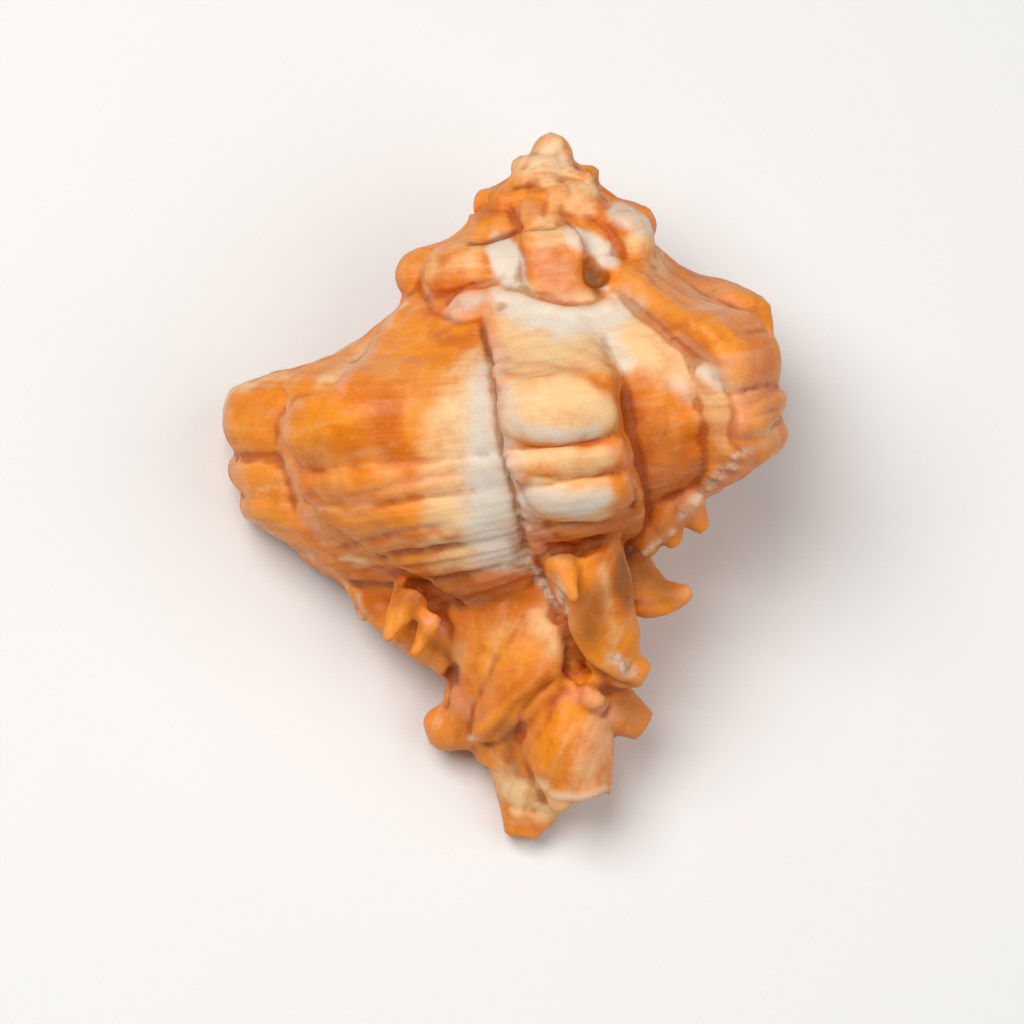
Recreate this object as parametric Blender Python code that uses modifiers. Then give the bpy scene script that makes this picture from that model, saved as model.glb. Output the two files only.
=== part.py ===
"""A murex shell, grown as one solid and lying on its mouth side. Modelled in mm, built in metres, +Z up.

The shell frame: the tip of the spire is the origin, the axis is Z with the canal downwards, and -Y is
the back of the shell, which shows when it lies on its mouth. A growth line is one ring of the whorl.
Its growth angle is in degrees round the axis: 0 on the back, 90 on the left side, where the outer lip
is at about 105, and every 360 less is one whorl nearer to the tip. Radii and heights of the whorl are
in units of the shoulder radius at that growth angle.
"""

import math

import bmesh
import bpy
import numpy as np
from mathutils import Matrix, Vector

MM = 0.001

# the spiral
SHOULDER_RADIUS = 24.0  # mm, at the left side of the last whorl
HALF_TURN_GROWTH = 1.435
FIRST_GROWTH = -1345.0
LIP_GROWTH = 105.0
TURN = 360.0

# the front view that the canal's knobs are measured in: the tip of the spire nods towards the eye
FRONT_TILT = math.radians(7.5)
FRONT_ROLL = math.radians(1.5)

# how the shell lies on a flat surface, from upright in the shell frame
REST_TURN = math.radians(-8.4)  # about the shell's own axis
REST_PITCH = math.radians(-67.1)

# the spire is set a little to the right, most at this distance below its tip, mm
SPIRE_LEAN = 0.2
SPIRE_LEAN_AT = 6.0
SPIRE_LEAN_REACH = 4.0

# radius and height on the crest of a varix, the same in the valley before it, and the slant in degrees
OUTLINE = (
    (0.28, 0.42, 0.28, 0.42, 20),
    (0.43, 0.475, 0.42, 0.49, 16),
    (0.52, 0.53, 0.49, 0.555, 13),
    (0.62, 0.605, 0.565, 0.62, 10),
    (0.755, 0.67, 0.64, 0.68, 7),
    (0.90, 0.70, 0.72, 0.74, 4),
    (0.985, 0.75, 0.785, 0.795, 2),
    (1.02, 0.835, 0.82, 0.86, 0),
    (1.02, 0.93, 0.835, 0.94, 0),
    (1.00, 1.03, 0.84, 1.03, -1),
    (0.975, 1.12, 0.82, 1.12, -3),
    (0.935, 1.20, 0.79, 1.20, -5),
    (0.86, 1.275, 0.74, 1.275, -8),
    (0.765, 1.335, 0.67, 1.335, -11),
    (0.67, 1.395, 0.58, 1.39, -15),
    (0.575, 1.45, 0.50, 1.44, -19),
    (0.47, 1.51, 0.41, 1.49, -23),
    (0.37, 1.58, 0.32, 1.55, -27),
    (0.26, 1.68, 0.23, 1.64, -30),
)

# the varices of the last whorl, newest first: growth angle of the edge, the share of the way from the
# varix before that its pad takes, the share over which it rises, and how softly its pad begins
VARICES = (
    (105, 0.50, 0.35, 0.7),
    (62, 0.42, 0.55, 0.9),
    (11, 0.50, 0.15, 0.0),
    (-39, 0.46, 0.20, 0.1),
    (-93, 0.45, 0.22, 0.1),
    (-145, 0.45, 0.22, 0.0),
    (-200, 0.45, 0.22, 0.0),
)

# how single varices differ: growth angle, reach of the whole crest, more reach of the middle lobes
# and of the base, the shoulder set lower, the ramp above it set higher, and the lobes set lower
DIFFERENCES = (
    (105, 1.01, 0.01, -0.06, -0.01, -0.05, -0.035),
    (60, 1.00, 0.00, -0.04, 0.00, -0.01, 0.03),
    (10, 1.00, 0.00, 0.00, 0.02, -0.06, 0.028),
    (-20, 1.02, 0.02, 0.05, 0.025, -0.05, 0.015),
    (-45, 1.06, 0.07, 0.14, 0.03, 0.02, 0.00),
    (-93, 1.00, 0.03, 0.08, 0.03, -0.06, 0.03),
    (-145, 1.00, 0.00, 0.00, 0.00, 0.02, 0.00),
    (-255, 0.97, 0.00, 0.00, 0.00, -0.02, 0.00),
    (-310, 0.96, 0.00, 0.00, 0.02, 0.00, 0.00),
    (-350, 1.00, 0.03, 0.10, 0.02, 0.04, 0.00),
    (-385, 1.00, 0.03, 0.10, 0.02, 0.04, 0.00),
    (-405, 1.00, 0.00, 0.00, 0.02, 0.04, 0.00),
    (-450, 0.96, 0.00, 0.00, 0.02, 0.00, 0.00),
)

# the heights between the lobes of a varix
LOBE_BOUNDS = (0.75, 1.01, 1.115, 1.305, 1.385, 1.455, 1.53, 1.60)
LOBE_DEPTH = 0.27  # of the lobe's own height
RIB_DEPTH = 0.04  # the same on the panels between the varices
PANEL_START = 0.22  # how far the shell is already out again just after a varix
PANEL_END = 0.5  # share of the way to the next varix where that has gone
RISE_BEFORE = 0.75  # share of a varix's rise that lies before its pad
LOBE_ROUNDNESS = 2.4  # 2 is a circle across a lobe, and more is squarer
LOBE_END_ROUNDNESS = 4.0
TOP_LOBE_SQUEEZE = 0.55  # the topmost lobe runs up into the ramp with no groove

# heights where the ramp, the middle lobes and the base come in, are full, begin to go out and are gone
RAMP_HEIGHTS = (0.45, 0.52, 0.70, 0.80)
MIDDLE_HEIGHTS = (0.88, 1.05, 1.15, 1.25)
BASE_HEIGHTS = (1.15, 1.25, 1.40, 1.50)
# radii and heights over which a varix's own reach and its lower shoulder come in
REACH_RADII = (0.5, 0.9)
DROP_HEIGHTS = (0.6, 0.9)

# knobs and spines of the canal and the base in the front view, mm: across, down, out, radius
KNOBS = {
    "canal": (
        (-0.1, 14.5, -2.0, 5.2),
        (-0.4, 22.7, -1.9, 7.3),
        (-0.5, 30.2, -1.6, 8.3),
        (-0.8, 34.7, -1.4, 7.7),
        (-1.1, 38.4, -1.4, 6.6),
        (-1.1, 42.1, -1.6, 5.2),
        (-1.1, 45.9, -2.1, 3.8),
        (-1.3, 49.2, -2.6, 2.6),
        (-1.7, 52.3, -3.0, 1.6),
    ),
    "right hook": (
        (3.5, 32.2, 1.6, 3.2),
        (6.2, 33.4, 1.8, 2.4),
        (8.4, 34.4, 2.0, 1.4),
        (10.7, 33.9, 2.4, 0.6),
    ),
    "centre horn": (
        (2.4, 30.6, 7.2, 3.1),
        (3.4, 34.0, 6.2, 2.9),
        (4.2, 37.0, 5.0, 2.5),
        (5.4, 39.2, 4.3, 1.8),
        (7.3, 40.2, 4.4, 0.9),
    ),
    "right horn": ((2.1, 40.2, 1.0, 3.3), (4.5, 42.4, 0.2, 2.3), (7.3, 44.0, -0.4, 1.1)),
    "centre knob": ((3.0, 40.2, 3.6, 1.4), (3.5, 42.1, 3.2, 1.0)),
    "spout": (
        (1.0, 40.6, 0.9, 2.7),
        (1.3, 43.2, 1.1, 3.2),
        (1.6, 45.4, 1.0, 3.3),
        (2.1, 47.6, 0.6, 2.8),
        (2.4, 49.6, 0.0, 2.3),
    ),
    "left fold": (
        (0.9, 36.1, 2.5, 3.4),
        (-1.5, 40.5, 2.0, 3.0),
        (-3.5, 43.1, 1.3, 1.9),
        (-5.0, 44.8, 0.6, 0.8),
    ),
    "left horn": (
        (-4.1, 41.0, -2.1, 3.5),
        (-6.2, 43.6, -2.3, 2.4),
        (-8.3, 44.4, -2.4, 1.5),
        (-9.0, 44.7, -2.4, 0.8),
    ),
    "left step": ((-2.9, 45.1, -2.1, 2.9), (-3.7, 47.4, -2.1, 1.8)),
    "left base": (
        (-14.2, 32.0, -2.0, 1.6),
        (-12.2, 34.4, -1.5, 2.1),
        (-9.3, 36.6, -1.0, 2.3),
        (-6.5, 38.5, -1.0, 2.4),
    ),
    "left spine 1": ((-9.8, 33.2, 4.2, 1.9), (-10.9, 35.6, 4.5, 1.2), (-11.9, 37.6, 4.5, 0.45)),
    "left spine 2": ((-7.9, 35.2, 4.8, 1.5), (-9.0, 37.2, 5.1, 0.8), (-9.9, 38.7, 5.1, 0.35)),
    "lip spine 1": ((-13.0, 33.2, -2.2, 1.5), (-13.6, 35.0, -2.4, 0.9), (-13.9, 36.3, -2.5, 0.4)),
    "lip spine 2": ((-9.8, 36.2, -1.8, 1.6), (-10.9, 38.1, -1.8, 0.8)),
    "right spine 1": ((9.9, 27.1, 4.5, 1.5), (11.0, 28.6, 4.6, 0.9), (11.6, 29.5, 4.6, 0.45)),
    "right spine 2": ((8.1, 28.1, 4.6, 1.7), (9.0, 29.8, 4.9, 0.9), (9.3, 30.7, 4.9, 0.45)),
    "right spine 3": ((6.5, 28.7, 4.5, 1.9), (7.7, 31.3, 4.9, 0.6)),
    "centre spine": ((0.9, 31.2, 10.3, 1.7), (1.4, 33.0, 11.2, 1.0), (1.9, 34.3, 11.8, 0.5)),
    "inner lip": (
        (-7.2, 17.0, -6.0, 1.6),
        (-6.6, 23.5, -6.6, 2.2),
        (-6.8, 30.0, -6.6, 2.0),
        (-5.2, 36.5, -5.0, 1.4),
    ),
}
FLATTER = 0.85  # front to back, for the canal
TIP_RADIUS = 1.65  # mm, the ball at the tip of the spire
TIP_ACROSS = 0.3

# the mouth: an oval that runs back into the whorl
MOUTH_CENTRE = (0.56, 1.00)
MOUTH_HALF = (0.20, 0.32)
MOUTH_DEPTH = 150.0  # degrees back from the lip
MOUTH_FLARE = 1.10
MOUTH_FLARE_BACK = (12.0, -4.0)  # degrees back from the lip where the flare begins and is full
MOUTH_BACKS = (-12, -4, 0, 4, 12, 25, 40, 60, 80, 100, 120, 135, 145, MOUTH_DEPTH)
MOUTH_END = 0.14  # how narrow it gets at its end
# the open slit of the canal, shell frame, mm: x, y, z, radius
CANAL_SLIT = (
    (-9.0, 3.0, -29.0, 1.7),
    (-6.2, 3.0, -35.0, 1.2),
    (-3.8, 1.4, -41.0, 1.0),
    (-2.2, -1.0, -47.0, 0.8),
    (-1.6, -3.6, -54.0, 0.7),
)
SLIT_DEPTH = 2.4  # times its radius
# the hollow end of the spout in the front view, mm: across, down, out, radius
SPOUT_HOLLOW = ((2.3, 46.8, -0.3, 0.8), (2.6, 48.4, 0.0, 1.4), (3.0, 50.0, 0.7, 1.9), (3.3, 51.6, 1.5, 2.3))

# fineness of the solid
GROWTH_STEP = 3.0
RING_POINTS = 70
KNOB_RINGS = 14
KNOB_SIDES = 20
MOUTH_SIDES = 24
VOXEL = 0.45  # mm
KEPT_SHARE = 0.10

SHELL_COLOUR = (0.83, 0.42, 0.16, 1.0)
SHELL_ROUGHNESS = 0.5


def smooth(value, start, end):
    part = np.clip((value - start) / (end - start), 0, 1)
    return part * part * (3 - 2 * part)


def between(value, bounds):
    """0 outside the bounds, 1 in their middle: come in, full, begin to go out, gone."""
    return smooth(value, *bounds[:2]) * (1 - smooth(value, *bounds[2:]))


def through(rows, count):
    """A smooth curve through the rows of a table, as this many rows."""
    rows = np.asarray(rows, float)
    place = np.linspace(0, len(rows) - 1, count)
    first = np.minimum(place.astype(int), len(rows) - 2)
    part = (place - first)[:, None]
    before = rows[np.maximum(first - 1, 0)]
    start = rows[first]
    end = rows[first + 1]
    after = rows[np.minimum(first + 2, len(rows) - 1)]
    return 0.5 * (
        2 * start
        + (end - before) * part
        + (2 * before - 5 * start + 4 * end - after) * part**2
        + (3 * start - before - 3 * end + after) * part**3
    )


def shoulder_radius(growth):
    return SHOULDER_RADIUS * HALF_TURN_GROWTH ** ((growth - 90) / 180)


def along_varix(growth):
    """Share of the way from the varix before to the next one, and the next one's pad, rise and softness."""
    turns = range(math.ceil((LIP_GROWTH - FIRST_GROWTH) / TURN) + 1)
    edges = np.array(sorted((edge - TURN * turn, *form) for turn in turns for edge, *form in VARICES))
    after = np.searchsorted(edges[:, 0], growth, side="left")
    share = (growth - edges[after - 1, 0]) / (edges[after, 0] - edges[after - 1, 0])
    return share, *edges[after, 1:].T


def crest_weight(share, pad, rise):
    """0 in the valley between two varices, 1 on the varix."""
    pad_start = 1 - pad
    up = smooth(share, pad_start - RISE_BEFORE * rise, pad_start + (1 - RISE_BEFORE) * rise)
    start = PANEL_START * (1 - smooth(share, 0.0, PANEL_END))
    return np.maximum(up, start)


def lobe_place(height):
    """Height of the lobe that a point is on, and its place across it from -1 to 1."""
    size = np.zeros_like(height)
    place = np.ones_like(height)
    for low, high in zip(LOBE_BOUNDS, LOBE_BOUNDS[1:]):
        across = 2 * (height - low) / (high - low) - 1
        inside = np.abs(across) < 1
        size[inside] = high - low
        place[inside] = across[inside]
    return size, place


def whorl(growth, count):
    """Points of the whorl's outer face in the shell frame, mm: one row for each growth line."""
    crest_r, crest_h, valley_r, valley_h, slant = through(OUTLINE, count).T
    share, pad, rise, soft = along_varix(growth)
    weight = crest_weight(share, pad, rise)[:, None]
    table = np.array(DIFFERENCES, float)[::-1]
    reach, middle, base, drop, lift, lower = (
        np.interp(growth, table[:, 0], table[:, column])[:, None] for column in range(1, 7)
    )
    out = 1 + (reach - 1) * smooth(crest_r, *REACH_RADII)
    out = out + middle * between(crest_h, MIDDLE_HEIGHTS) + base * between(crest_h, BASE_HEIGHTS)
    radius = valley_r + (crest_r * out - valley_r) * weight
    height = valley_h + (crest_h - lift * between(crest_h, RAMP_HEIGHTS) - valley_h) * weight
    size, place = lobe_place(height - lower)
    top = height - lower < LOBE_BOUNDS[1]
    place = np.where(top & (place < 0), place * TOP_LOBE_SQUEEZE, place)
    across = np.sqrt(1 - np.abs(place) ** LOBE_ROUNDNESS)
    turn = np.clip((share - 1 + pad / 2) / (pad / 2), -1, 1)
    turn = np.where(turn < 0, turn * (1 - soft), turn)[:, None]
    along = np.sqrt(1 - np.abs(turn) ** LOBE_END_ROUNDNESS)
    radius = radius - size * LOBE_DEPTH * weight * (1 - across * along) + size * RIB_DEPTH * (across - 1)
    height = height + drop * smooth(height, *DROP_HEIGHTS)
    angle = np.radians(growth[:, None] + slant)
    scale = shoulder_radius(growth)[:, None]
    down = height * scale
    lean = SPIRE_LEAN * np.exp(-(((down - SPIRE_LEAN_AT) / SPIRE_LEAN_REACH) ** 2))
    return np.stack([lean - radius * scale * np.sin(angle), -radius * scale * np.cos(angle), -down], 2)


def seen_from_front(across, down, out):
    """A point of the front view in the shell frame."""
    view = Matrix.Rotation(-FRONT_ROLL, 3, "Y") @ Matrix.Rotation(FRONT_TILT, 3, "X")
    return view.transposed() @ Vector((across, -out, -down))


def tube_rings(path, deep=1.0):
    """Rings along a path of x, y, z and radius. The rings are stretched front to back by deep."""
    rows = through(path, KNOB_RINGS)
    rings = []
    for index, row in enumerate(rows):
        centre = Vector(row[:3])
        ahead = rows[min(index + 1, KNOB_RINGS - 1)]
        behind = rows[max(index - 1, 0)]
        along = Vector(ahead[:3] - behind[:3]).normalized()
        side = along.cross(Vector((0, -1, 0))).normalized()
        front = side.cross(along)
        turns = np.linspace(0, 2 * math.pi, KNOB_SIDES, endpoint=False)
        rings.append([centre + (side * math.cos(t) + front * deep * math.sin(t)) * row[3] for t in turns])
    return rings


def add_rings(shape, rings):
    """Joins closed rings of points into one capped solid."""
    loops = [[shape.verts.new(point) for point in ring] for ring in rings]
    sides = len(loops[0])
    for loop, following in zip(loops, loops[1:]):
        for index in range(sides):
            beside = (index + 1) % sides
            shape.faces.new((loop[index], loop[beside], following[beside], following[index]))
    shape.faces.new(loops[0][::-1])
    shape.faces.new(loops[-1])


def add_whorls(shape):
    growth = np.arange(FIRST_GROWTH, LIP_GROWTH + GROWTH_STEP / 2, GROWTH_STEP)
    growth = np.append(growth[growth < LIP_GROWTH], LIP_GROWTH)
    rings = []
    for line in whorl(growth, RING_POINTS):
        axis = [(0, 0, line[-1][2]), (0, 0, line[0][2])]
        rings.append([*line, *axis])
    add_rings(shape, rings)


def add_knob(shape, path, deep=1.0):
    rows = [(*seen_from_front(across, down, out), radius) for across, down, out, radius in path]
    add_rings(shape, tube_rings(rows, deep))


def add_knobs(shape):
    for name, path in KNOBS.items():
        add_knob(shape, path, deep=FLATTER if name == "canal" else 1.0)
    tip = Matrix.Translation((TIP_ACROSS, 0, -TIP_RADIUS))
    bmesh.ops.create_icosphere(shape, subdivisions=3, radius=TIP_RADIUS, matrix=tip)


def add_mouth(shape):
    """The oval hollow, from a little outside the lip back into the whorl, where it closes."""
    outline = through(OUTLINE, RING_POINTS)
    rings = []
    turns = np.linspace(0, 2 * math.pi, MOUTH_SIDES, endpoint=False)
    for back in MOUTH_BACKS:
        narrow = max(MOUTH_END, math.sqrt(1 - (max(back, 0) / MOUTH_DEPTH) ** 2))
        flare = 1 + (MOUTH_FLARE - 1) * float(smooth(back, *MOUTH_FLARE_BACK))
        radius = MOUTH_CENTRE[0] + MOUTH_HALF[0] * narrow * flare * np.cos(turns)
        height = MOUTH_CENTRE[1] + MOUTH_HALF[1] * narrow * flare * np.sin(turns)
        slant = np.interp(height, outline[:, 1], outline[:, 4])
        angle = np.radians(LIP_GROWTH - back + slant)
        scale = shoulder_radius(LIP_GROWTH - back)
        ring = np.stack([-radius * np.sin(angle), -radius * np.cos(angle), -height], 1) * scale
        rings.append(list(ring))
    add_rings(shape, rings)


def add_slit(shape):
    add_rings(shape, tube_rings(CANAL_SLIT, deep=SLIT_DEPTH))


def add_spout_hollow(shape):
    add_knob(shape, SPOUT_HOLLOW)


def resting():
    """From the shell frame to the way the shell lies."""
    return Matrix.Rotation(REST_PITCH, 4, "X") @ Matrix.Rotation(REST_TURN, 4, "Z")


def mesh_object(name, add_shapes, collection):
    """One mesh object, made by the given functions, in metres and lying down."""
    shape = bmesh.new()
    for add_shape in add_shapes:
        add_shape(shape)
    bmesh.ops.recalc_face_normals(shape, faces=shape.faces)
    shape.transform(Matrix.Scale(MM, 4) @ resting())
    mesh = bpy.data.meshes.new(name)
    shape.to_mesh(mesh)
    shape.free()
    made = bpy.data.objects.new(name, mesh)
    collection.objects.link(made)
    return made


def new_collection(name):
    collection = bpy.data.collections.new(name)
    bpy.context.scene.collection.children.link(collection)
    return collection


def shell_material():
    material = bpy.data.materials.new("shell")
    material.use_nodes = True
    principled = material.node_tree.nodes["Principled BSDF"]
    principled.inputs["Base Color"].default_value = SHELL_COLOUR
    principled.inputs["Roughness"].default_value = SHELL_ROUGHNESS
    principled.inputs["Metallic"].default_value = 0.0
    return material


def add_cutter(shell, name, add_shape, collection):
    cutter = mesh_object(name, [add_shape], collection)
    cutter.hide_render = True
    cutter.display_type = "WIRE"
    cut = shell.modifiers.new(name, "BOOLEAN")
    cut.operation = "DIFFERENCE"
    cut.object = cutter
    return cutter


def add_skin(shell, name):
    """One closed skin over all the shapes that the mesh holds."""
    skin = shell.modifiers.new(name, "REMESH")
    skin.mode = "VOXEL"
    skin.voxel_size = VOXEL * MM


def stand_on_origin(shell, cutters):
    """Moves everything so that the middle of the underside of the shell's box is the origin."""
    graph = bpy.context.evaluated_depsgraph_get()
    corners = np.array([corner[:] for corner in shell.evaluated_get(graph).bound_box])
    low = corners.min(axis=0)
    high = corners.max(axis=0)
    shift = Vector((-(low[0] + high[0]) / 2, -(low[1] + high[1]) / 2, -low[2]))
    for made in (shell, *cutters):
        made.location = shift


def main():
    for old in list(bpy.data.objects):
        bpy.data.objects.remove(old)
    parts = new_collection("murex shell")
    guides = new_collection("cutters")

    shell = mesh_object("shell", [add_whorls, add_knobs], parts)
    shell.data.materials.append(shell_material())
    add_skin(shell, "grown together")
    cutters = [
        add_cutter(shell, "mouth", add_mouth, guides),
        add_cutter(shell, "canal slit", add_slit, guides),
        add_cutter(shell, "spout hollow", add_spout_hollow, guides),
    ]
    add_skin(shell, "worn smooth")
    fewer = shell.modifiers.new("fewer faces", "DECIMATE")
    fewer.ratio = KEPT_SHARE
    stand_on_origin(shell, cutters)


if __name__ == "__main__":
    main()
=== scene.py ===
"""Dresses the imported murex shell: one fine grown shape with its relief, colours and mouth, and a stage.

The shell frame is in mm. The tip of the spire is the origin, the axis is Z with the canal downwards, and -Y
is the back of the shell. A growth line is one ring of the whorl, and its growth angle is in degrees round the
axis: 0 on the back, 90 on the left side, and every 360 less is one whorl nearer to the tip. Marks on the back
are given in the front view: a grid of 1024 by 1024 steps of GRID mm, seen from EYE_DISTANCE, counted from its
top left corner.
"""

import math

import bmesh
import bpy
import numpy as np
from mathutils import Matrix, Vector
from mathutils.bvhtree import BVHTree


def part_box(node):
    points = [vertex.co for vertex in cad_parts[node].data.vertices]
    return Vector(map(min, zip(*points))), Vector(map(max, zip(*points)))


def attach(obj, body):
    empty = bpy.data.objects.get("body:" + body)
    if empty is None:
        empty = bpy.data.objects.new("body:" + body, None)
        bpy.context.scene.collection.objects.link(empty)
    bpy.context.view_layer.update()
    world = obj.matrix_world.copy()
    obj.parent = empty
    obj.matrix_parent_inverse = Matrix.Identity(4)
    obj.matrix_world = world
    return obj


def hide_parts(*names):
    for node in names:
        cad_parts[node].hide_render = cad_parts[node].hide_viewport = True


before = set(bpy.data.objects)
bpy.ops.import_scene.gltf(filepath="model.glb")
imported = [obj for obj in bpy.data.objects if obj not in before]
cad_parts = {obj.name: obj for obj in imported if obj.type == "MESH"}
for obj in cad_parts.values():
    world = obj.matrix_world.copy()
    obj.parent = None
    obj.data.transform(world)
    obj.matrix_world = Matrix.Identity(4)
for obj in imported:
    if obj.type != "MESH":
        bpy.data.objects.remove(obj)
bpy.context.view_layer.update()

bl_info = {
    "name": "Murex Shell",
    "version": (1, 0, 0),
    "blender": (4, 5, 0),
    "location": "View3D > Sidebar > Murex",
    "description": "Grows a lobed murex shell with its colours, relief and mouth, and sets up a plain stage",
    "category": "Add Mesh",
}

MM = 0.001
TURN = 360.0

# the spiral
SHOULDER_RADIUS = 24.0  # mm, at the left side of the last whorl
HALF_TURN_GROWTH = 1.435
FIRST_GROWTH = -1345.0
LIP_GROWTH = 105.0

# the front view: the tip of the spire nods towards the eye, and the eye is this far away
FRONT_TILT = math.radians(7.5)
FRONT_ROLL = math.radians(1.5)
GRID = 0.0743  # mm, one step of the front view
GRID_STEPS = 1024
TIP_AT = (547, 134)  # where the tip of the spire is in it
LENS = 200.0
SENSOR = 36.0
EYE_DISTANCE = GRID_STEPS * GRID / SENSOR * LENS

# how the shell lies, from upright in the shell frame
REST_TURN = math.radians(-8.4)
REST_PITCH = math.radians(-67.1)

SPIRE_LEAN = 0.2
SPIRE_LEAN_AT = 6.0
SPIRE_LEAN_REACH = 4.0

# radius and height on the crest of a varix, the same in the valley before it, and the slant in degrees
OUTLINE = (
    (0.28, 0.42, 0.28, 0.42, 20),
    (0.43, 0.475, 0.42, 0.49, 16),
    (0.52, 0.53, 0.49, 0.555, 13),
    (0.62, 0.605, 0.565, 0.62, 10),
    (0.755, 0.67, 0.64, 0.68, 7),
    (0.90, 0.70, 0.72, 0.74, 4),
    (0.985, 0.75, 0.785, 0.795, 2),
    (1.02, 0.835, 0.82, 0.86, 0),
    (1.02, 0.93, 0.835, 0.94, 0),
    (1.00, 1.03, 0.84, 1.03, -1),
    (0.975, 1.12, 0.82, 1.12, -3),
    (0.935, 1.20, 0.79, 1.20, -5),
    (0.86, 1.275, 0.74, 1.275, -8),
    (0.765, 1.335, 0.67, 1.335, -11),
    (0.67, 1.395, 0.58, 1.39, -15),
    (0.575, 1.45, 0.50, 1.44, -19),
    (0.47, 1.51, 0.41, 1.49, -23),
    (0.37, 1.58, 0.32, 1.55, -27),
    (0.26, 1.68, 0.23, 1.64, -30),
)

# the varices of the last whorl, newest first: growth angle of the edge, the share of the way from the
# varix before that its pad takes, the share over which it rises, and how softly its pad begins
VARICES = (
    (105, 0.50, 0.35, 0.7),
    (62, 0.42, 0.55, 0.9),
    (11, 0.50, 0.15, 0.0),
    (-39, 0.46, 0.20, 0.1),
    (-93, 0.45, 0.22, 0.1),
    (-145, 0.45, 0.22, 0.0),
    (-200, 0.45, 0.22, 0.0),
)

# how single varices differ: growth angle, reach of the whole crest, more reach of the middle lobes
# and of the base, the shoulder set lower, the ramp above it set higher, and the lobes set lower
DIFFERENCES = (
    (105, 1.01, 0.01, -0.06, -0.01, -0.05, -0.035),
    (60, 1.00, 0.00, -0.04, 0.00, -0.01, 0.03),
    (10, 1.00, 0.00, 0.00, 0.02, -0.06, 0.028),
    (-20, 1.02, 0.02, 0.05, 0.025, -0.05, 0.015),
    (-45, 1.06, 0.07, 0.14, 0.03, 0.02, 0.00),
    (-93, 1.00, 0.03, 0.08, 0.03, -0.06, 0.03),
    (-145, 1.00, 0.00, 0.00, 0.00, 0.02, 0.00),
    (-255, 0.97, 0.00, 0.00, 0.00, -0.02, 0.00),
    (-310, 0.96, 0.00, 0.00, 0.02, 0.00, 0.00),
    (-350, 1.00, 0.03, 0.10, 0.02, 0.04, 0.00),
    (-385, 1.00, 0.03, 0.10, 0.02, 0.04, 0.00),
    (-405, 1.00, 0.00, 0.00, 0.02, 0.04, 0.00),
    (-450, 0.96, 0.00, 0.00, 0.02, 0.00, 0.00),
)

# the heights between the lobes of a varix
LOBE_BOUNDS = (0.75, 1.01, 1.115, 1.305, 1.385, 1.455, 1.53, 1.60)
LOBE_DEPTH = 0.27  # of the lobe's own height
RIB_DEPTH = 0.04  # the same on the panels between the varices
PANEL_START = 0.22  # how far the shell is already out again just after a varix
PANEL_END = 0.5  # share of the way to the next varix where that has gone
RISE_BEFORE = 0.75  # share of a varix's rise that lies before its pad
LOBE_ROUNDNESS = 2.4  # 2 is a circle across a lobe, and more is squarer
LOBE_END_ROUNDNESS = 4.0
TOP_LOBE_SQUEEZE = 0.55  # the topmost lobe runs up into the ramp with no groove

# heights where the ramp, the middle lobes and the base come in, are full, begin to go out and are gone
RAMP_HEIGHTS = (0.45, 0.52, 0.70, 0.80)
MIDDLE_HEIGHTS = (0.88, 1.05, 1.15, 1.25)
BASE_HEIGHTS = (1.15, 1.25, 1.40, 1.50)
# radii and heights over which a varix's own reach and its lower shoulder come in
REACH_RADII = (0.5, 0.9)
DROP_HEIGHTS = (0.6, 0.9)

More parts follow.
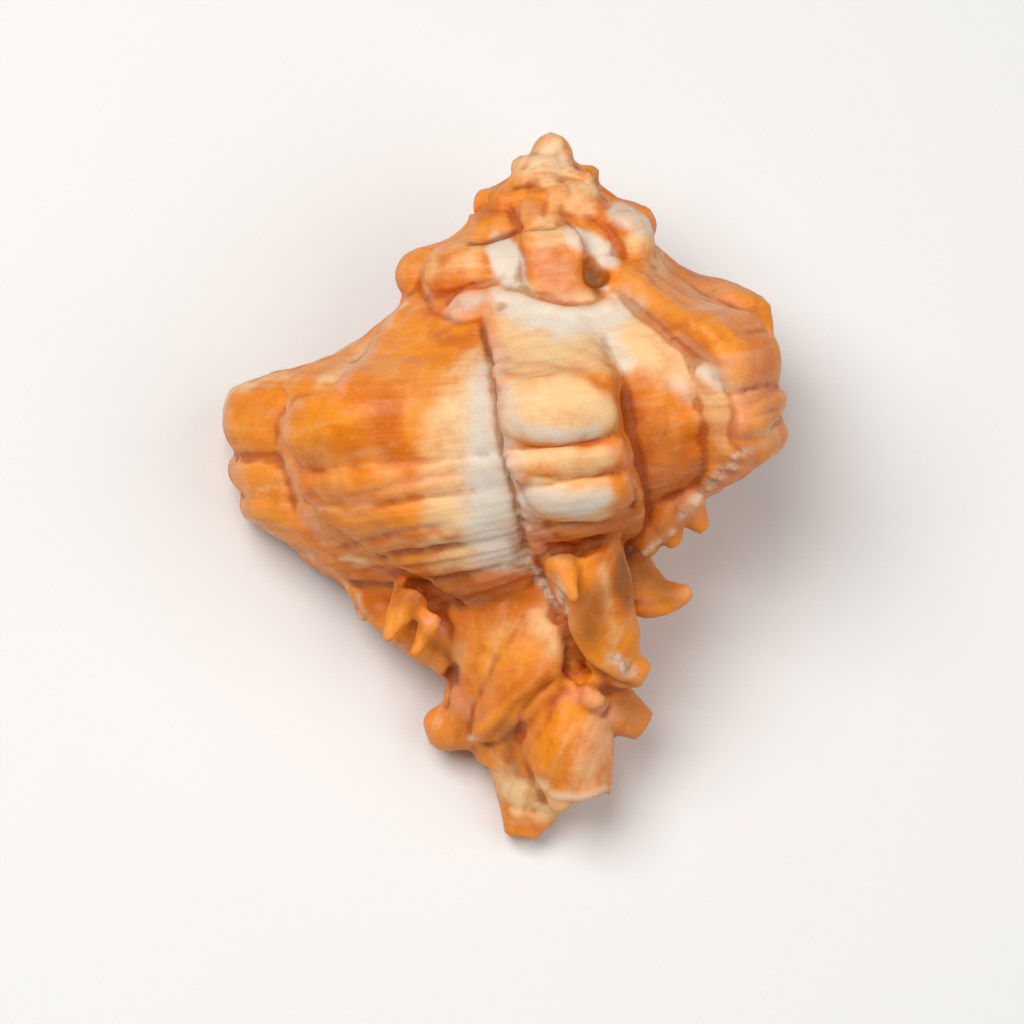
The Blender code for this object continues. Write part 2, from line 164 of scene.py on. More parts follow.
# knobs and spines of the canal and the base in the front view, mm: across, down, out, radius
KNOBS = {
    "canal": (
        (-0.1, 14.5, -2.0, 5.2),
        (-0.4, 22.7, -1.9, 7.3),
        (-0.5, 30.2, -1.6, 8.3),
        (-0.8, 34.7, -1.4, 7.7),
        (-1.1, 38.4, -1.4, 6.6),
        (-1.1, 42.1, -1.6, 5.2),
        (-1.1, 45.9, -2.1, 3.8),
        (-1.3, 49.2, -2.6, 2.6),
        (-1.7, 52.3, -3.0, 1.6),
    ),
    "right hook": (
        (3.5, 32.2, 1.6, 3.2),
        (6.2, 33.4, 1.8, 2.4),
        (8.4, 34.4, 2.0, 1.4),
        (10.7, 33.9, 2.4, 0.6),
    ),
    "centre horn": (
        (2.4, 30.6, 7.2, 3.1),
        (3.4, 34.0, 6.2, 2.9),
        (4.2, 37.0, 5.0, 2.5),
        (5.4, 39.2, 4.3, 1.8),
        (7.3, 40.2, 4.4, 0.9),
    ),
    "right horn": ((2.1, 40.2, 1.0, 3.3), (4.5, 42.4, 0.2, 2.3), (7.3, 44.0, -0.4, 1.1)),
    "centre knob": ((3.0, 40.2, 3.6, 1.4), (3.5, 42.1, 3.2, 1.0)),
    "spout": (
        (1.0, 40.6, 0.9, 2.7),
        (1.3, 43.2, 1.1, 3.2),
        (1.6, 45.4, 1.0, 3.3),
        (2.1, 47.6, 0.6, 2.8),
        (2.4, 49.6, 0.0, 2.3),
    ),
    "left fold": (
        (0.9, 36.1, 2.5, 3.4),
        (-1.5, 40.5, 2.0, 3.0),
        (-3.5, 43.1, 1.3, 1.9),
        (-5.0, 44.8, 0.6, 0.8),
    ),
    "left horn": (
        (-4.1, 41.0, -2.1, 3.5),
        (-6.2, 43.6, -2.3, 2.4),
        (-8.3, 44.4, -2.4, 1.5),
        (-9.0, 44.7, -2.4, 0.8),
    ),
    "left step": ((-2.9, 45.1, -2.1, 2.9), (-3.7, 47.4, -2.1, 1.8)),
    "left base": (
        (-14.2, 32.0, -2.0, 1.6),
        (-12.2, 34.4, -1.5, 2.1),
        (-9.3, 36.6, -1.0, 2.3),
        (-6.5, 38.5, -1.0, 2.4),
    ),
    "left spine 1": ((-9.9, 34.0, 3.6, 1.5), (-11.0, 35.8, 4.0, 0.9), (-11.9, 37.6, 4.3, 0.35)),
    "left spine 2": ((-8.4, 35.6, 4.2, 1.0), (-9.1, 37.2, 4.7, 0.55), (-9.9, 38.7, 4.9, 0.3)),
    "lip spine 1": ((-13.0, 33.2, -2.2, 1.5), (-13.6, 35.0, -2.4, 0.9), (-13.9, 36.3, -2.5, 0.4)),
    "lip spine 2": ((-9.8, 36.2, -1.8, 1.6), (-10.9, 38.1, -1.8, 0.8)),
    "right spine 1": ((9.9, 27.1, 4.5, 1.5), (11.0, 28.6, 4.6, 0.9), (11.6, 29.5, 4.6, 0.45)),
    "right spine 2": ((8.1, 28.1, 4.6, 1.7), (9.0, 29.8, 4.9, 0.9), (9.3, 30.7, 4.9, 0.45)),
    "right spine 3": ((6.5, 28.7, 4.5, 1.9), (7.7, 31.3, 4.9, 0.6)),
    "centre spine": ((0.9, 31.6, 10.0, 1.5), (1.4, 33.2, 10.9, 0.9), (2.0, 34.6, 11.4, 0.35)),
    "inner lip": (
        (-7.2, 17.0, -6.0, 1.6),
        (-6.6, 23.5, -6.6, 2.2),
        (-6.8, 30.0, -6.6, 2.0),
        (-5.2, 36.5, -5.0, 1.4),
    ),
}
FLATTER = 0.85  # front to back, for the canal
TIP_RADIUS = 1.65  # mm, the ball at the tip of the spire
TIP_ACROSS = 0.3

# the mouth: an oval that runs back into the whorl
MOUTH_CENTRE = (0.56, 1.00)
MOUTH_HALF = (0.20, 0.32)
MOUTH_DEPTH = 150.0  # degrees back from the lip
MOUTH_FLARE = 1.10
MOUTH_FLARE_BACK = (12.0, -4.0)  # degrees back from the lip where the flare begins and is full
MOUTH_END = 0.14  # how narrow it gets at its end
MOUTH_BACKS = (-12, -8, -4, -2, 0, 2, 4, 8, 12, 18, 25, 32, 40, 50, 60, 80, 100, 120, 135, 145, MOUTH_DEPTH)
# the open slit of the canal, shell frame, mm: x, y, z, radius
CANAL_SLIT = (
    (-9.0, 3.0, -29.0, 1.7),
    (-6.2, 3.0, -35.0, 1.2),
    (-3.8, 1.4, -41.0, 1.0),
    (-2.2, -1.0, -47.0, 0.8),
    (-1.6, -3.6, -54.0, 0.7),
)
SLIT_DEPTH = 2.4  # times its radius
# the hollow end of the spout in the front view, mm: across, down, out, radius
SPOUT_HOLLOW = ((2.3, 46.8, -0.3, 0.8), (2.6, 48.4, 0.0, 1.4), (3.0, 50.0, 0.7, 1.9), (3.3, 51.6, 1.5, 2.3))

GROWTH_STEP = 1.5
RING_POINTS = 130
KNOB_RINGS = 26
KNOB_SIDES = 32
MOUTH_SIDES = 48

# how the even skin is pulled back onto the shapes that it was grown over, distances in voxels
TURNS_MATCHED = 3.2  # back from the lip
CUT_REACH = 0.8  # a point nearer than this to a cut is in it
PULL_REACH = (1.2, 0.3)  # where the pull begins and is full
PULL = 0.85
KNOB_MARGIN = 1.0  # mm round a knob in which points are matched to it
FAR = 1e9
GROWTH_JUMP = 4  # degrees and share of the ring by which neighbours on one whorl differ at most
RING_JUMP = 0.02

# relief in mm: growth angles of the first and last fold, and the number of cords
FOLDED = (-1100, 110)
CORDS = 46
CORD_HEIGHT = 0.05
FOLD_HEIGHT = 0.04
WRINKLE_ALONG = (0.91, 0.42)  # across the wrinkles of the canal, in the front view
WRINKLE_SPAN = 76.0  # mm
WRINKLE_HEIGHT = 0.13
DENTS = ((0.07, 2.6, 11), (0.03, 1.3, 12))  # height, size of the lumps, seed
TEETH_SPREAD = 15.0
TEETH_DEPTHS = (-2, 4, 14, 26)  # degrees back from the lip
TEETH_HEIGHT = 0.55
GRIT_LUMP = 1.1
GRIT_HEIGHT = 0.22
GRIT_LIFT = 0.18
MARK_ENDS = 0.35  # a mark begins and ends with this share of its height, over this share of a span
PAD_ROUNDNESS = 2.6  # 2 is an oval, and more is squarer

# raised and sunk marks in the front view: height in mm (negative sinks), half width in steps, points
MARKS = (
    # the edge of the middle varix and the crack in front of it
    (0.30, 6, ((491, 290), (490, 322), (496, 352), (501, 392), (508, 440), (520, 482), (529, 516))),
    (-0.60, 4, (
        (482, 318), (485, 340), (491, 366), (494, 400),
        (500, 440), (511, 482), (521, 524), (527, 560),
    )),
    # wrinkles above its first lobe
    (-0.12, 5, ((504, 358), (522, 350), (545, 343))),
    (-0.16, 3, ((498, 372), (525, 361), (556, 356), (585, 360))),
    (-0.14, 3, ((530, 372), (560, 364), (592, 368))),
    # the grooves between its lobes, and the fall to the panel on their right
    (0.22, 6, ((508, 449), (530, 447), (560, 448), (600, 447), (620, 442))),
    (-0.22, 2, ((508, 449), (530, 446), (560, 447), (600, 446), (620, 440))),
    (0.18, 6, ((514, 475), (545, 476), (580, 478), (624, 472))),
    (-0.20, 2, ((514, 475), (545, 476), (580, 478), (624, 472))),
    (-0.40, 6, ((530, 525), (560, 528), (600, 526), (634, 508))),
    (-0.55, 8, ((624, 384), (630, 410), (634, 440), (642, 470), (642, 500), (630, 520))),
    # the small lobe and the pit below them
    (0.35, 6, ((534, 524), (546, 532), (556, 530))),
    (-0.30, 4, ((528, 538), (548, 546), (570, 546), (600, 540))),
    (0.30, 5, ((528, 522), (534, 540), (546, 556))),
    # the raised edge of the right varix
    (0.45, 10, ((632, 278), (655, 298), (686, 322), (712, 345), (728, 360))),
    (-0.16, 5, ((616, 290), (640, 310), (664, 334), (692, 354), (716, 372))),
    (-0.34, 5, ((708, 372), (720, 384), (728, 402), (731, 425), (732, 446))),
    (-0.30, 3, ((728, 396), (745, 391), (765, 384), (784, 377))),
    (-0.30, 3, ((734, 412), (745, 416), (765, 412), (788, 407))),
    # the valley between the two right varices
    (-0.45, 8, ((668, 262), (700, 288), (735, 318), (762, 330))),
    (0.25, 5, ((676, 256), (700, 274), (730, 292))),
    # the edge of the left varix over the one behind it
    (0.22, 6, (
        (398, 308), (374, 350), (340, 388), (300, 404),
        (286, 424), (286, 456), (298, 482), (307, 510),
    )),
    (-0.24, 5, (
        (391, 306), (365, 350), (329, 388), (295, 398),
        (275, 420), (274, 452), (289, 486), (295, 520),
    )),
    # the grooves between the lobes on the left, and the furrows of the base
    (0.26, 6, ((296, 468), (330, 469), (370, 468), (412, 466))),
    (-0.24, 4, ((299, 498), (340, 500), (371, 494), (424, 478), (462, 470))),
    (-0.18, 4, ((318, 520), (360, 516), (410, 500), (460, 494))),
    (-0.26, 4, ((330, 550), (352, 545), (410, 532), (452, 528))),
    (-0.26, 4, ((335, 566), (380, 557), (424, 550), (466, 546))),
    (-0.30, 4, ((346, 584), (390, 588), (438, 580), (480, 574))),
    (-0.14, 5, ((470, 576), (500, 570), (524, 562))),
    (-0.18, 4, ((350, 574), (400, 570), (440, 566), (470, 562))),
    (0.18, 4, ((342, 556), (352, 562), (366, 562))),
    (-0.25, 4, ((234, 456), (262, 456), (278, 458))),
    (-0.25, 4, ((242, 490), (268, 486), (292, 484))),
    (-0.25, 4, ((248, 520), (268, 528), (300, 540))),
    (-0.20, 4, ((272, 548), (300, 558), (330, 574))),
    # the pit and the sutures of the spire
    (-1.10, 9, ((596, 268), (600, 285))),
    (-0.30, 4, ((500, 286), (528, 292), (548, 299), (566, 303), (590, 301), (608, 292))),
    (0.30, 6, ((494, 295), (512, 297), (528, 303), (548, 308), (566, 314), (592, 312), (616, 301))),
    (0.30, 4, ((524, 234), (525, 258), (527, 284))),
    (0.35, 5, ((576, 230), (581, 246), (586, 258))),
    (0.22, 16, ((550, 244), (556, 262), (558, 284))),
    (-0.40, 3, ((462, 248), (480, 242), (500, 236), (518, 229), (540, 226), (562, 225))),
    (-0.30, 4, ((422, 262), (418, 285), (432, 310), (455, 320), (482, 318))),
    (-0.30, 3, ((492, 284), (470, 286), (453, 294), (444, 308))),
    (-0.35, 4, ((508, 188), (530, 186), (552, 184), (578, 178), (600, 182))),
    (-0.30, 3, ((578, 162), (580, 174), (590, 186))),
    (-0.35, 3, ((524, 153), (540, 156), (556, 154), (570, 147))),
    (-0.22, 4, ((512, 206), (514, 222))),
    (-0.22, 4, ((545, 196), (544, 216))),
    (0.35, 7, ((474, 202), (474, 230))),
    (-0.14, 2, ((480, 209), (498, 204))),
    (-0.14, 2, ((480, 217), (500, 212))),
    # folds of the canal
    (-0.60, 5, ((548, 572), (560, 610), (568, 645), (570, 668), (578, 690))),
    (-0.50, 4, ((560, 668), (586, 688), (612, 694), (632, 684))),
    (-0.45, 4, ((518, 742), (520, 716), (536, 696), (560, 680))),
    (-0.35, 5, ((440, 650), (452, 668), (446, 690), (448, 712))),
    (-0.30, 4, ((484, 748), (498, 732), (510, 712), (524, 696))),
    (0.70, 6, ((476, 738), (498, 716), (524, 690), (548, 666))),
    (0.22, 4, ((586, 714), (572, 736), (554, 758), (542, 774))),
    (0.25, 3, ((540, 784), (556, 796), (578, 798), (604, 790))),
    (-0.25, 3, ((556, 700), (546, 722), (530, 744))),
    (0.35, 4, ((562, 618), (578, 644), (600, 664), (630, 680))),
    (-0.35, 4, ((564, 630), (578, 656), (600, 676), (624, 688))),
    (-0.25, 3, ((498, 804), (520, 810), (544, 814))),
    (0.15, 3, ((506, 812), (524, 820), (540, 828))),
    (-0.22, 3, ((420, 614), (436, 616), (450, 630))),
    (0.30, 4, ((424, 622), (432, 624))),
    (0.30, 4, ((440, 622), (446, 636))),
    (0.25, 3, ((508, 450), (514, 466), (520, 490), (526, 520))),
    (-0.30, 4, ((640, 712), (616, 700), (600, 720))),
    (-0.25, 3, ((628, 602), (650, 606), (676, 604))),
)
# rounded pads in the front view: height in mm, centre, half width and half height in steps, turn in degrees
PADS = (
    (0.75, (558, 411), (58, 35), 0),
    (0.38, (570, 461), (58, 14), 0),
    (0.65, (580, 498), (56, 24), 2),
    (0.22, (545, 332), (58, 28), 0),
    (0.40, (452, 268), (38, 22), -24),
    (0.30, (468, 304), (21, 15), -20),
    (0.40, (636, 274), (16, 15), 30),
    (0.35, (646, 250), (20, 16), 20),
    (0.40, (711, 376), (16, 14), 30),
    (0.20, (687, 390), (12, 10), 20),
    (0.60, (754, 362), (34, 28), -12),
    (0.40, (760, 401), (30, 12), -12),
    (0.55, (760, 431), (32, 19), -8),
    (0.45, (742, 306), (30, 20), 20),
    (0.25, (316, 432), (36, 36), 0),
    (0.25, (340, 518), (38, 22), 10),
    (0.25, (250, 424), (26, 30), 0),
    (0.20, (262, 506), (24, 16), 0),
    (0.45, (572, 196), (28, 18), 10),
    (0.35, (528, 204), (17, 20), 0),
    (0.55, (534, 168), (26, 17), 0),
    (0.45, (588, 172), (11, 10), 30),
    (0.20, (548, 143), (18, 10), 0),
    (0.50, (490, 212), (20, 23), 0),
    (0.35, (634, 220), (28, 13), 28),
    (0.45, (595, 702), (14, 11), 0),
    (0.35, (464, 704), (18, 20), 0),
)

# colour marks in the front view: strength, softness in steps, then points with their half width
TINTS = {
    "white": (
        (1.0, 34, (
            (486, 366, 3), (486, 400, 9), (488, 440, 15), (490, 480, 20), (494, 520, 25), (498, 550, 16),
        )),
        (0.85, 18, ((500, 300, 8), (530, 314, 16), (562, 324, 14), (602, 318, 13), (630, 308, 6))),
        (0.7, 12, ((608, 344, 8), (622, 358, 9))),
        (0.8, 10, ((700, 366, 5), (712, 374, 9), (722, 384, 5))),
        (0.5, 10, ((678, 386, 6), (690, 394, 6))),
        (1.0, 7, ((502, 248, 12), (508, 262, 16), (512, 276, 12), (520, 288, 6))),
        (0.95, 10, ((572, 238, 7), (592, 244, 10), (606, 254, 9), (616, 262, 5))),
        (0.95, 13, ((532, 494, 4), (555, 498, 8), (580, 499, 9), (602, 495, 5))),
        (0.7, 10, ((524, 428, 5), (560, 432, 7), (596, 430, 6))),
        (0.5, 10, ((512, 392, 4), (518, 420, 6))),
        (0.6, 6, ((778, 350, 3), (784, 372, 4))),
        (0.8, 10, ((616, 212, 7), (634, 222, 8), (648, 231, 5))),
        (0.55, 8, ((457, 306, 5), (468, 302, 7), (478, 300, 6))),
        (0.6, 6, ((556, 582, 3), (562, 592, 3))),
        (0.9, 3, ((592, 271, 3), (594, 275, 2))),
        (0.9, 4, ((552, 793, 1), (576, 797, 3), (590, 796, 4), (603, 790, 3))),
        (0.3, 8, ((538, 144, 6), (554, 144, 7))),
        (0.4, 14, ((532, 164, 9), (558, 161, 10))),
        (0.7, 9, ((614, 658, 3), (624, 665, 5), (634, 670, 4))),
        (0.6, 4, ((470, 736, 3), (478, 733, 3))),
        (0.6, 4, ((357, 596, 2), (359, 616, 2))),
    ),
    "cream": (
        (0.95, 36, ((470, 372, 6), (462, 420, 20), (460, 470, 26), (462, 530, 28))),
        (1.0, 22, ((502, 298, 14), (530, 322, 26), (575, 326, 30), (616, 322, 24))),
        (0.8, 20, ((510, 350, 16), (550, 352, 18), (592, 350, 18))),
        (0.9, 16, ((530, 406, 26), (575, 408, 26), (600, 414, 17))),
        (0.8, 10, ((526, 460, 9), (570, 460, 10), (606, 458, 8))),
        (0.8, 12, ((540, 498, 16), (596, 496, 18))),
        (0.95, 26, ((628, 338, 20), (662, 358, 22), (696, 376, 16), (720, 386, 10))),
        (0.5, 22, ((716, 410, 10), (722, 440, 10))),
        (0.9, 8, ((536, 146, 10), (556, 148, 10))),
        (0.7, 16, ((524, 170, 12), (560, 168, 14))),
        (0.7, 8, ((583, 188, 6), (589, 190, 5))),
        (0.45, 8, ((602, 720, 8), (590, 750, 17), (584, 784, 18))),
        (0.95, 14, ((502, 780, 9), (524, 796, 16), (552, 806, 14))),
        (0.6, 6, ((516, 822, 3), (534, 826, 3))),
        (0.6, 14, ((498, 762, 7), (514, 776, 9))),
        (0.5, 8, ((248, 489, 3), (285, 486, 3))),
        (0.4, 8, ((234, 456, 2), (274, 457, 2))),
        (0.8, 7, ((386, 318, 4), (398, 303, 4))),
        (0.7, 12, ((325, 376, 4), (352, 360, 5), (376, 334, 5))),
        (0.7, 10, ((238, 384, 4), (262, 376, 5), (290, 372, 4))),
        (0.5, 14, ((604, 565, 6), (610, 600, 5), (614, 632, 5))),
        (0.7, 24, ((540, 612, 4), (554, 634, 7), (557, 652, 5))),
        (0.45, 30, ((500, 640, 10), (524, 630, 8))),
        (0.5, 8, ((462, 642, 4), (466, 662, 4))),
        (0.6, 10, ((350, 560, 4), (360, 563, 4))),
        (0.6, 16, ((440, 572, 4), (480, 568, 10), (520, 562, 10))),
        (0.5, 10, ((272, 538, 5), (300, 553, 5), (342, 583, 4))),
        (0.7, 18, ((546, 236, 14), (562, 240, 12))),
        (0.6, 16, ((640, 240, 12), (656, 262, 12))),
        (0.5, 20, ((440, 262, 12), (470, 262, 10))),
        (0.6, 10, ((755, 432, 6), (762, 431, 5))),
        (0.5, 12, ((580, 200, 12), (556, 200, 12))),
        (0.5, 5, ((340, 557, 1), (366, 560, 2), (400, 550, 1), (450, 539, 1))),
        (0.35, 6, ((304, 511, 1), (350, 508, 2), (400, 497, 1))),
        (0.5, 6, ((562, 584, 2), (570, 596, 2))),
    ),
    "amber": (
        (0.8, 26, ((310, 425, 24), (340, 425, 18))),
        (0.8, 26, ((385, 330, 18), (430, 340, 22), (462, 332, 10))),
        (0.7, 22, ((670, 300, 10), (700, 325, 10), (730, 342, 10))),
        (0.8, 20, ((480, 650, 16), (516, 652, 16))),
        (0.9, 14, ((530, 684, 8), (508, 708, 10), (488, 728, 6))),
        (1.0, 6, ((570, 712, 6), (550, 738, 13), (534, 762, 11))),
        (0.6, 26, ((250, 420, 16), (262, 470, 16), (280, 505, 12))),
        (0.5, 14, ((300, 545, 8), (270, 530, 8))),
        (0.8, 10, ((404, 612, 6), (392, 630, 5))),
        (0.55, 12, ((548, 406, 5), (566, 400, 6), (574, 412, 3))),
        (0.7, 7, ((534, 484, 3), (590, 482, 3), (622, 486, 4), (628, 505, 3))),
        (0.5, 10, ((606, 270, 8), (600, 290, 6))),
        (0.8, 9, ((583, 560, 8), (574, 582, 5))),
        (0.6, 26, ((654, 398, 16), (700, 408, 14))),
        (0.6, 12, ((512, 182, 6), (530, 192, 8))),
        (0.5, 16, ((576, 640, 10), (596, 660, 8))),
        (0.6, 14, ((430, 350, 10), (444, 372, 8))),
    ),
    "rust": (
        (0.4, 6, ((572, 724, 2), (558, 744, 4), (544, 764, 3))),
        (0.28, 12, ((498, 356, 4), (530, 359, 4), (572, 366, 4), (610, 380, 6))),
        (0.35, 18, ((636, 368, 6), (658, 380, 9), (676, 392, 8))),
        (0.9, 20, ((385, 400, 10), (388, 440, 13), (410, 458, 10))),
        (0.6, 16, ((335, 442, 8), (352, 450, 8))),
        (0.8, 14, ((440, 335, 7), (458, 345, 8), (478, 336, 5))),
        # partly painted shade: the panel's own deep orange brown, deepened where shade falls right of the
        # middle varix's lobes
        (0.9, 20, ((634, 404, 6), (644, 440, 12), (648, 480, 14), (630, 525, 12), (606, 548, 9))),
        (0.6, 26, ((670, 430, 10), (684, 460, 14), (672, 490, 14))),
        (0.7, 9, ((346, 573, 4), (400, 574, 6), (450, 575, 6), (500, 582, 5))),
        (0.5, 9, ((336, 548, 3), (400, 536, 4), (450, 530, 3))),
        (0.6, 4, ((330, 551, 1), (352, 546, 1), (410, 533, 1), (474, 527, 1))),
        (0.6, 4, ((335, 567, 1), (380, 558, 1), (424, 551, 1), (470, 546, 1))),
        (0.5, 4, ((318, 521, 1), (360, 517, 1), (410, 501, 1), (456, 495, 1))),
        (0.6, 5, ((300, 499, 1), (340, 501, 1), (371, 495, 2), (424, 479, 1), (456, 472, 1))),
        (0.95, 16, ((380, 598, 6), (430, 598, 10), (480, 594, 10), (524, 590, 8))),
        (0.8, 12, ((545, 550, 5), (575, 552, 6), (606, 546, 7))),
        (0.35, 4, ((520, 447, 1), (560, 448, 1), (612, 446, 2))),
        (0.35, 4, ((528, 476, 1), (570, 477, 1), (622, 473, 2))),
        (0.75, 10, ((478, 220, 7), (500, 208, 8))),
        (0.8, 5, ((529, 186, 4), (538, 188, 3))),
        (0.6, 6, ((532, 203, 3), (545, 205, 2))),
        (0.5, 7, ((588, 213, 5), (598, 216, 4))),
        (0.8, 10, ((614, 566, 6), (622, 590, 7), (626, 612, 6))),
        (0.6, 20, ((596, 596, 8), (588, 632, 8))),
        (0.6, 8, ((504, 736, 5), (504, 758, 6))),
        (0.7, 6, ((506, 812, 2), (526, 822, 3), (540, 830, 3))),
        # painted shade under the right hook
        (0.5, 12, ((672, 572, 7), (650, 580, 7))),
        (0.8, 10, ((366, 590, 6), (376, 606, 6))),
        (0.35, 6, ((500, 378, 2), (540, 372, 2), (592, 376, 3))),
        (0.85, 12, ((546, 672, 5), (522, 688, 7), (500, 704, 5))),
        (0.5, 18, ((470, 640, 8), (450, 624, 8), (510, 612, 8))),
        (0.7, 14, ((462, 684, 9), (470, 712, 9))),
        (0.5, 20, ((645, 718, 8), (622, 706, 8))),
    ),
    "pink": (
        (0.45, 10, ((600, 724, 8), (588, 752, 16), (584, 784, 16))),
        (0.65, 8, ((626, 294, 4), (650, 316, 5), (678, 340, 5), (706, 360, 5))),
        (0.7, 12, ((226, 395, 3), (226, 425, 4), (234, 455, 3), (236, 480, 3), (243, 510, 4))),
        (0.8, 9, ((300, 402, 3), (284, 420, 5), (281, 450, 4), (294, 478, 4), (302, 510, 4), (322, 540, 4))),
        (0.9, 10, ((489, 300, 3), (490, 335, 4), (498, 365, 5), (501, 395, 3), (506, 430, 3))),
        (0.9, 6, ((396, 306, 3), (372, 348, 4), (342, 386, 4))),
        (1.0, 9, ((505, 447, 5), (512, 460, 5), (518, 478, 4))),
        (0.9, 9, ((530, 522, 8), (545, 540, 9), (556, 552, 7))),
        (0.45, 14, ((560, 526, 7), (590, 530, 8), (612, 520, 6))),
        (0.7, 10, ((612, 452, 5), (626, 444, 4), (632, 470, 4), (632, 497, 3))),
        (1.0, 10, ((484, 296, 6), (466, 304, 10), (452, 312, 6))),
        (0.8, 12, ((686, 346, 6), (700, 352, 7), (722, 362, 6))),
        (0.5, 20, ((360, 502, 10), (400, 488, 10), (440, 478, 6))),
        (0.6, 16, ((695, 285, 8), (725, 306, 8), (750, 322, 7))),
        (0.45, 22, ((748, 366, 14), (762, 402, 14), (758, 436, 12))),
        (0.8, 8, ((728, 396, 3), (748, 391, 4), (740, 404, 5), (734, 430, 5))),
        (0.6, 12, ((458, 690, 7), (470, 712, 7))),
        (0.9, 8, ((582, 694, 7), (596, 702, 8), (606, 712, 5))),
        (0.6, 9, ((556, 606, 3), (564, 640, 4), (572, 674, 5))),
        (0.5, 14, ((620, 712, 8), (640, 722, 7))),
        (0.75, 18, ((546, 258, 14), (556, 276, 18), (562, 290, 16))),
        (0.6, 9, ((650, 605, 4), (630, 603, 4))),
        (0.5, 9, ((686, 590, 5), (676, 598, 5))),
        (0.8, 7, ((568, 151, 5), (576, 160, 4))),
        (0.7, 10, ((518, 216, 7), (535, 212, 7))),
        (0.8, 5, ((425, 622, 4), (440, 623, 5), (445, 638, 3))),
        (0.6, 8, ((424, 730, 4), (434, 748, 4))),
        (0.7, 6, ((474, 205, 3), (473, 232, 3))),
        (0.8, 8, ((654, 214, 3), (660, 232, 3))),
        (0.6, 10, ((420, 270, 4), (430, 300, 4))),
        (0.7, 12, ((748, 456, 6), (722, 476, 7), (702, 502, 7), (680, 520, 6))),
    ),
    "grit": (
        (1.0, 5, ((524, 554, 2), (538, 572, 3), (548, 592, 4), (562, 612, 2))),
        (0.9, 4, ((506, 566, 1), (522, 560, 2))),
        (0.75, 7, ((744, 452, 4), (726, 464, 5), (712, 482, 5), (700, 498, 5), (684, 512, 5))),
        (0.8, 5, ((672, 530, 3), (654, 544, 4), (640, 554, 2))),
        (0.8, 4, ((604, 284, 3), (608, 288, 2))),
        (0.8, 6, ((614, 657, 3), (624, 664, 5), (635, 669, 4))),
        (0.7, 5, ((360, 622, 3), (364, 610, 2))),
        (0.6, 4, ((398, 641, 3), (408, 645, 2))),
        (0.6, 4, ((506, 447, 1), (512, 462, 2), (520, 500, 2), (526, 530, 3))),
    ),
    # painted shade: darkens the cracks, pits, sutures and the undercut parts of the canal and its hooks
    "dirt": (
        (0.3, 16, ((574, 292, 6), (588, 282, 6))),
        (0.22, 24, ((596, 596, 12), (604, 640, 12), (630, 700, 8), (640, 716, 8))),
        (0.3, 14, ((444, 646, 7), (456, 670, 7))),
        (1.0, 3, ((481, 326, 1), (486, 345, 2), (492, 362, 1))),
        (0.5, 3, ((494, 385, 1), (500, 430, 1), (508, 470, 1), (520, 520, 1))),
        (0.9, 2, ((468, 245, 1), (485, 241, 1), (500, 236, 1), (516, 229, 1))),
        (0.8, 2, ((557, 223, 1), (566, 225, 1))),
        (0.5, 10, ((512, 538, 4), (520, 556, 5))),
        (0.9, 7, ((594, 268, 3), (601, 280, 4), (596, 290, 3))),
        (0.6, 9, ((545, 556, 4), (575, 553, 4), (612, 540, 4))),
        (0.8, 12, ((624, 560, 5), (622, 584, 6), (628, 604, 4))),
        (0.62, 18, ((640, 574, 10), (668, 592, 9))),
        (0.5, 18, ((692, 512, 10), (664, 538, 10), (644, 550, 8))),
        (0.4, 18, ((600, 590, 9), (590, 630, 9), (580, 660, 7))),
        (0.35, 16, ((614, 692, 7), (634, 716, 8))),
        (0.9, 2, ((569, 642, 1), (570, 668, 1), (576, 688, 1))),
        (0.55, 10, ((512, 728, 4), (510, 750, 6), (516, 772, 4))),
        (0.5, 6, ((410, 612, 3), (424, 636, 4), (434, 650, 4))),
        (0.4, 8, ((446, 656, 4), (454, 676, 4))),
        (0.5, 4, ((728, 396, 1), (745, 390, 1), (765, 384, 1))),
        (0.5, 3, ((664, 406, 1), (668, 418, 1), (666, 434, 1))),
        (0.55, 5, ((350, 585, 2), (410, 586, 2), (470, 581, 2))),
        (0.4, 12, ((400, 600, 5), (470, 600, 7), (520, 594, 5))),
        (0.4, 8, ((478, 222, 2), (496, 212, 2))),
    ),
}
# how far the edge of each kind of colour strays from its marks, in steps
STRAYS = {"white": 4, "cream": 8, "amber": 9, "rust": 9, "pink": 4, "grit": 3, "dirt": 1.5}


def smooth(value, start, end):
    part = np.clip((value - start) / (end - start), 0, 1)
    return part * part * (3 - 2 * part)


def between(value, bounds):
    """0 outside the bounds, 1 in their middle: come in, full, begin to go out, gone."""
    return smooth(value, *bounds[:2]) * (1 - smooth(value, *bounds[2:]))


def through(rows, count):
    """A smooth curve through the rows of a table, as this many rows."""
    rows = np.asarray(rows, float)
    place = np.linspace(0, len(rows) - 1, count)
    first = np.minimum(place.astype(int), len(rows) - 2)
    part = (place - first)[:, None]
    before = rows[np.maximum(first - 1, 0)]
    start = rows[first]
    end = rows[first + 1]
    after = rows[np.minimum(first + 2, len(rows) - 1)]
    return 0.5 * (
        2 * start
        + (end - before) * part
        + (2 * before - 5 * start + 4 * end - after) * part**2
        + (3 * start - before - 3 * end + after) * part**3
    )


def shoulder_radius(growth):
    return SHOULDER_RADIUS * HALF_TURN_GROWTH ** ((growth - 90) / 180)


def along_varix(growth):
    """Share of the way from the varix before to the next one, and the next one's pad, rise and softness."""
    turns = range(math.ceil((LIP_GROWTH - FIRST_GROWTH) / TURN) + 1)
    edges = np.array(sorted((edge - TURN * turn, *form) for turn in turns for edge, *form in VARICES))
    after = np.clip(np.searchsorted(edges[:, 0], growth, side="left"), 1, len(edges) - 1)
    share = (growth - edges[after - 1, 0]) / (edges[after, 0] - edges[after - 1, 0])
    return share, *edges[after, 1:].T


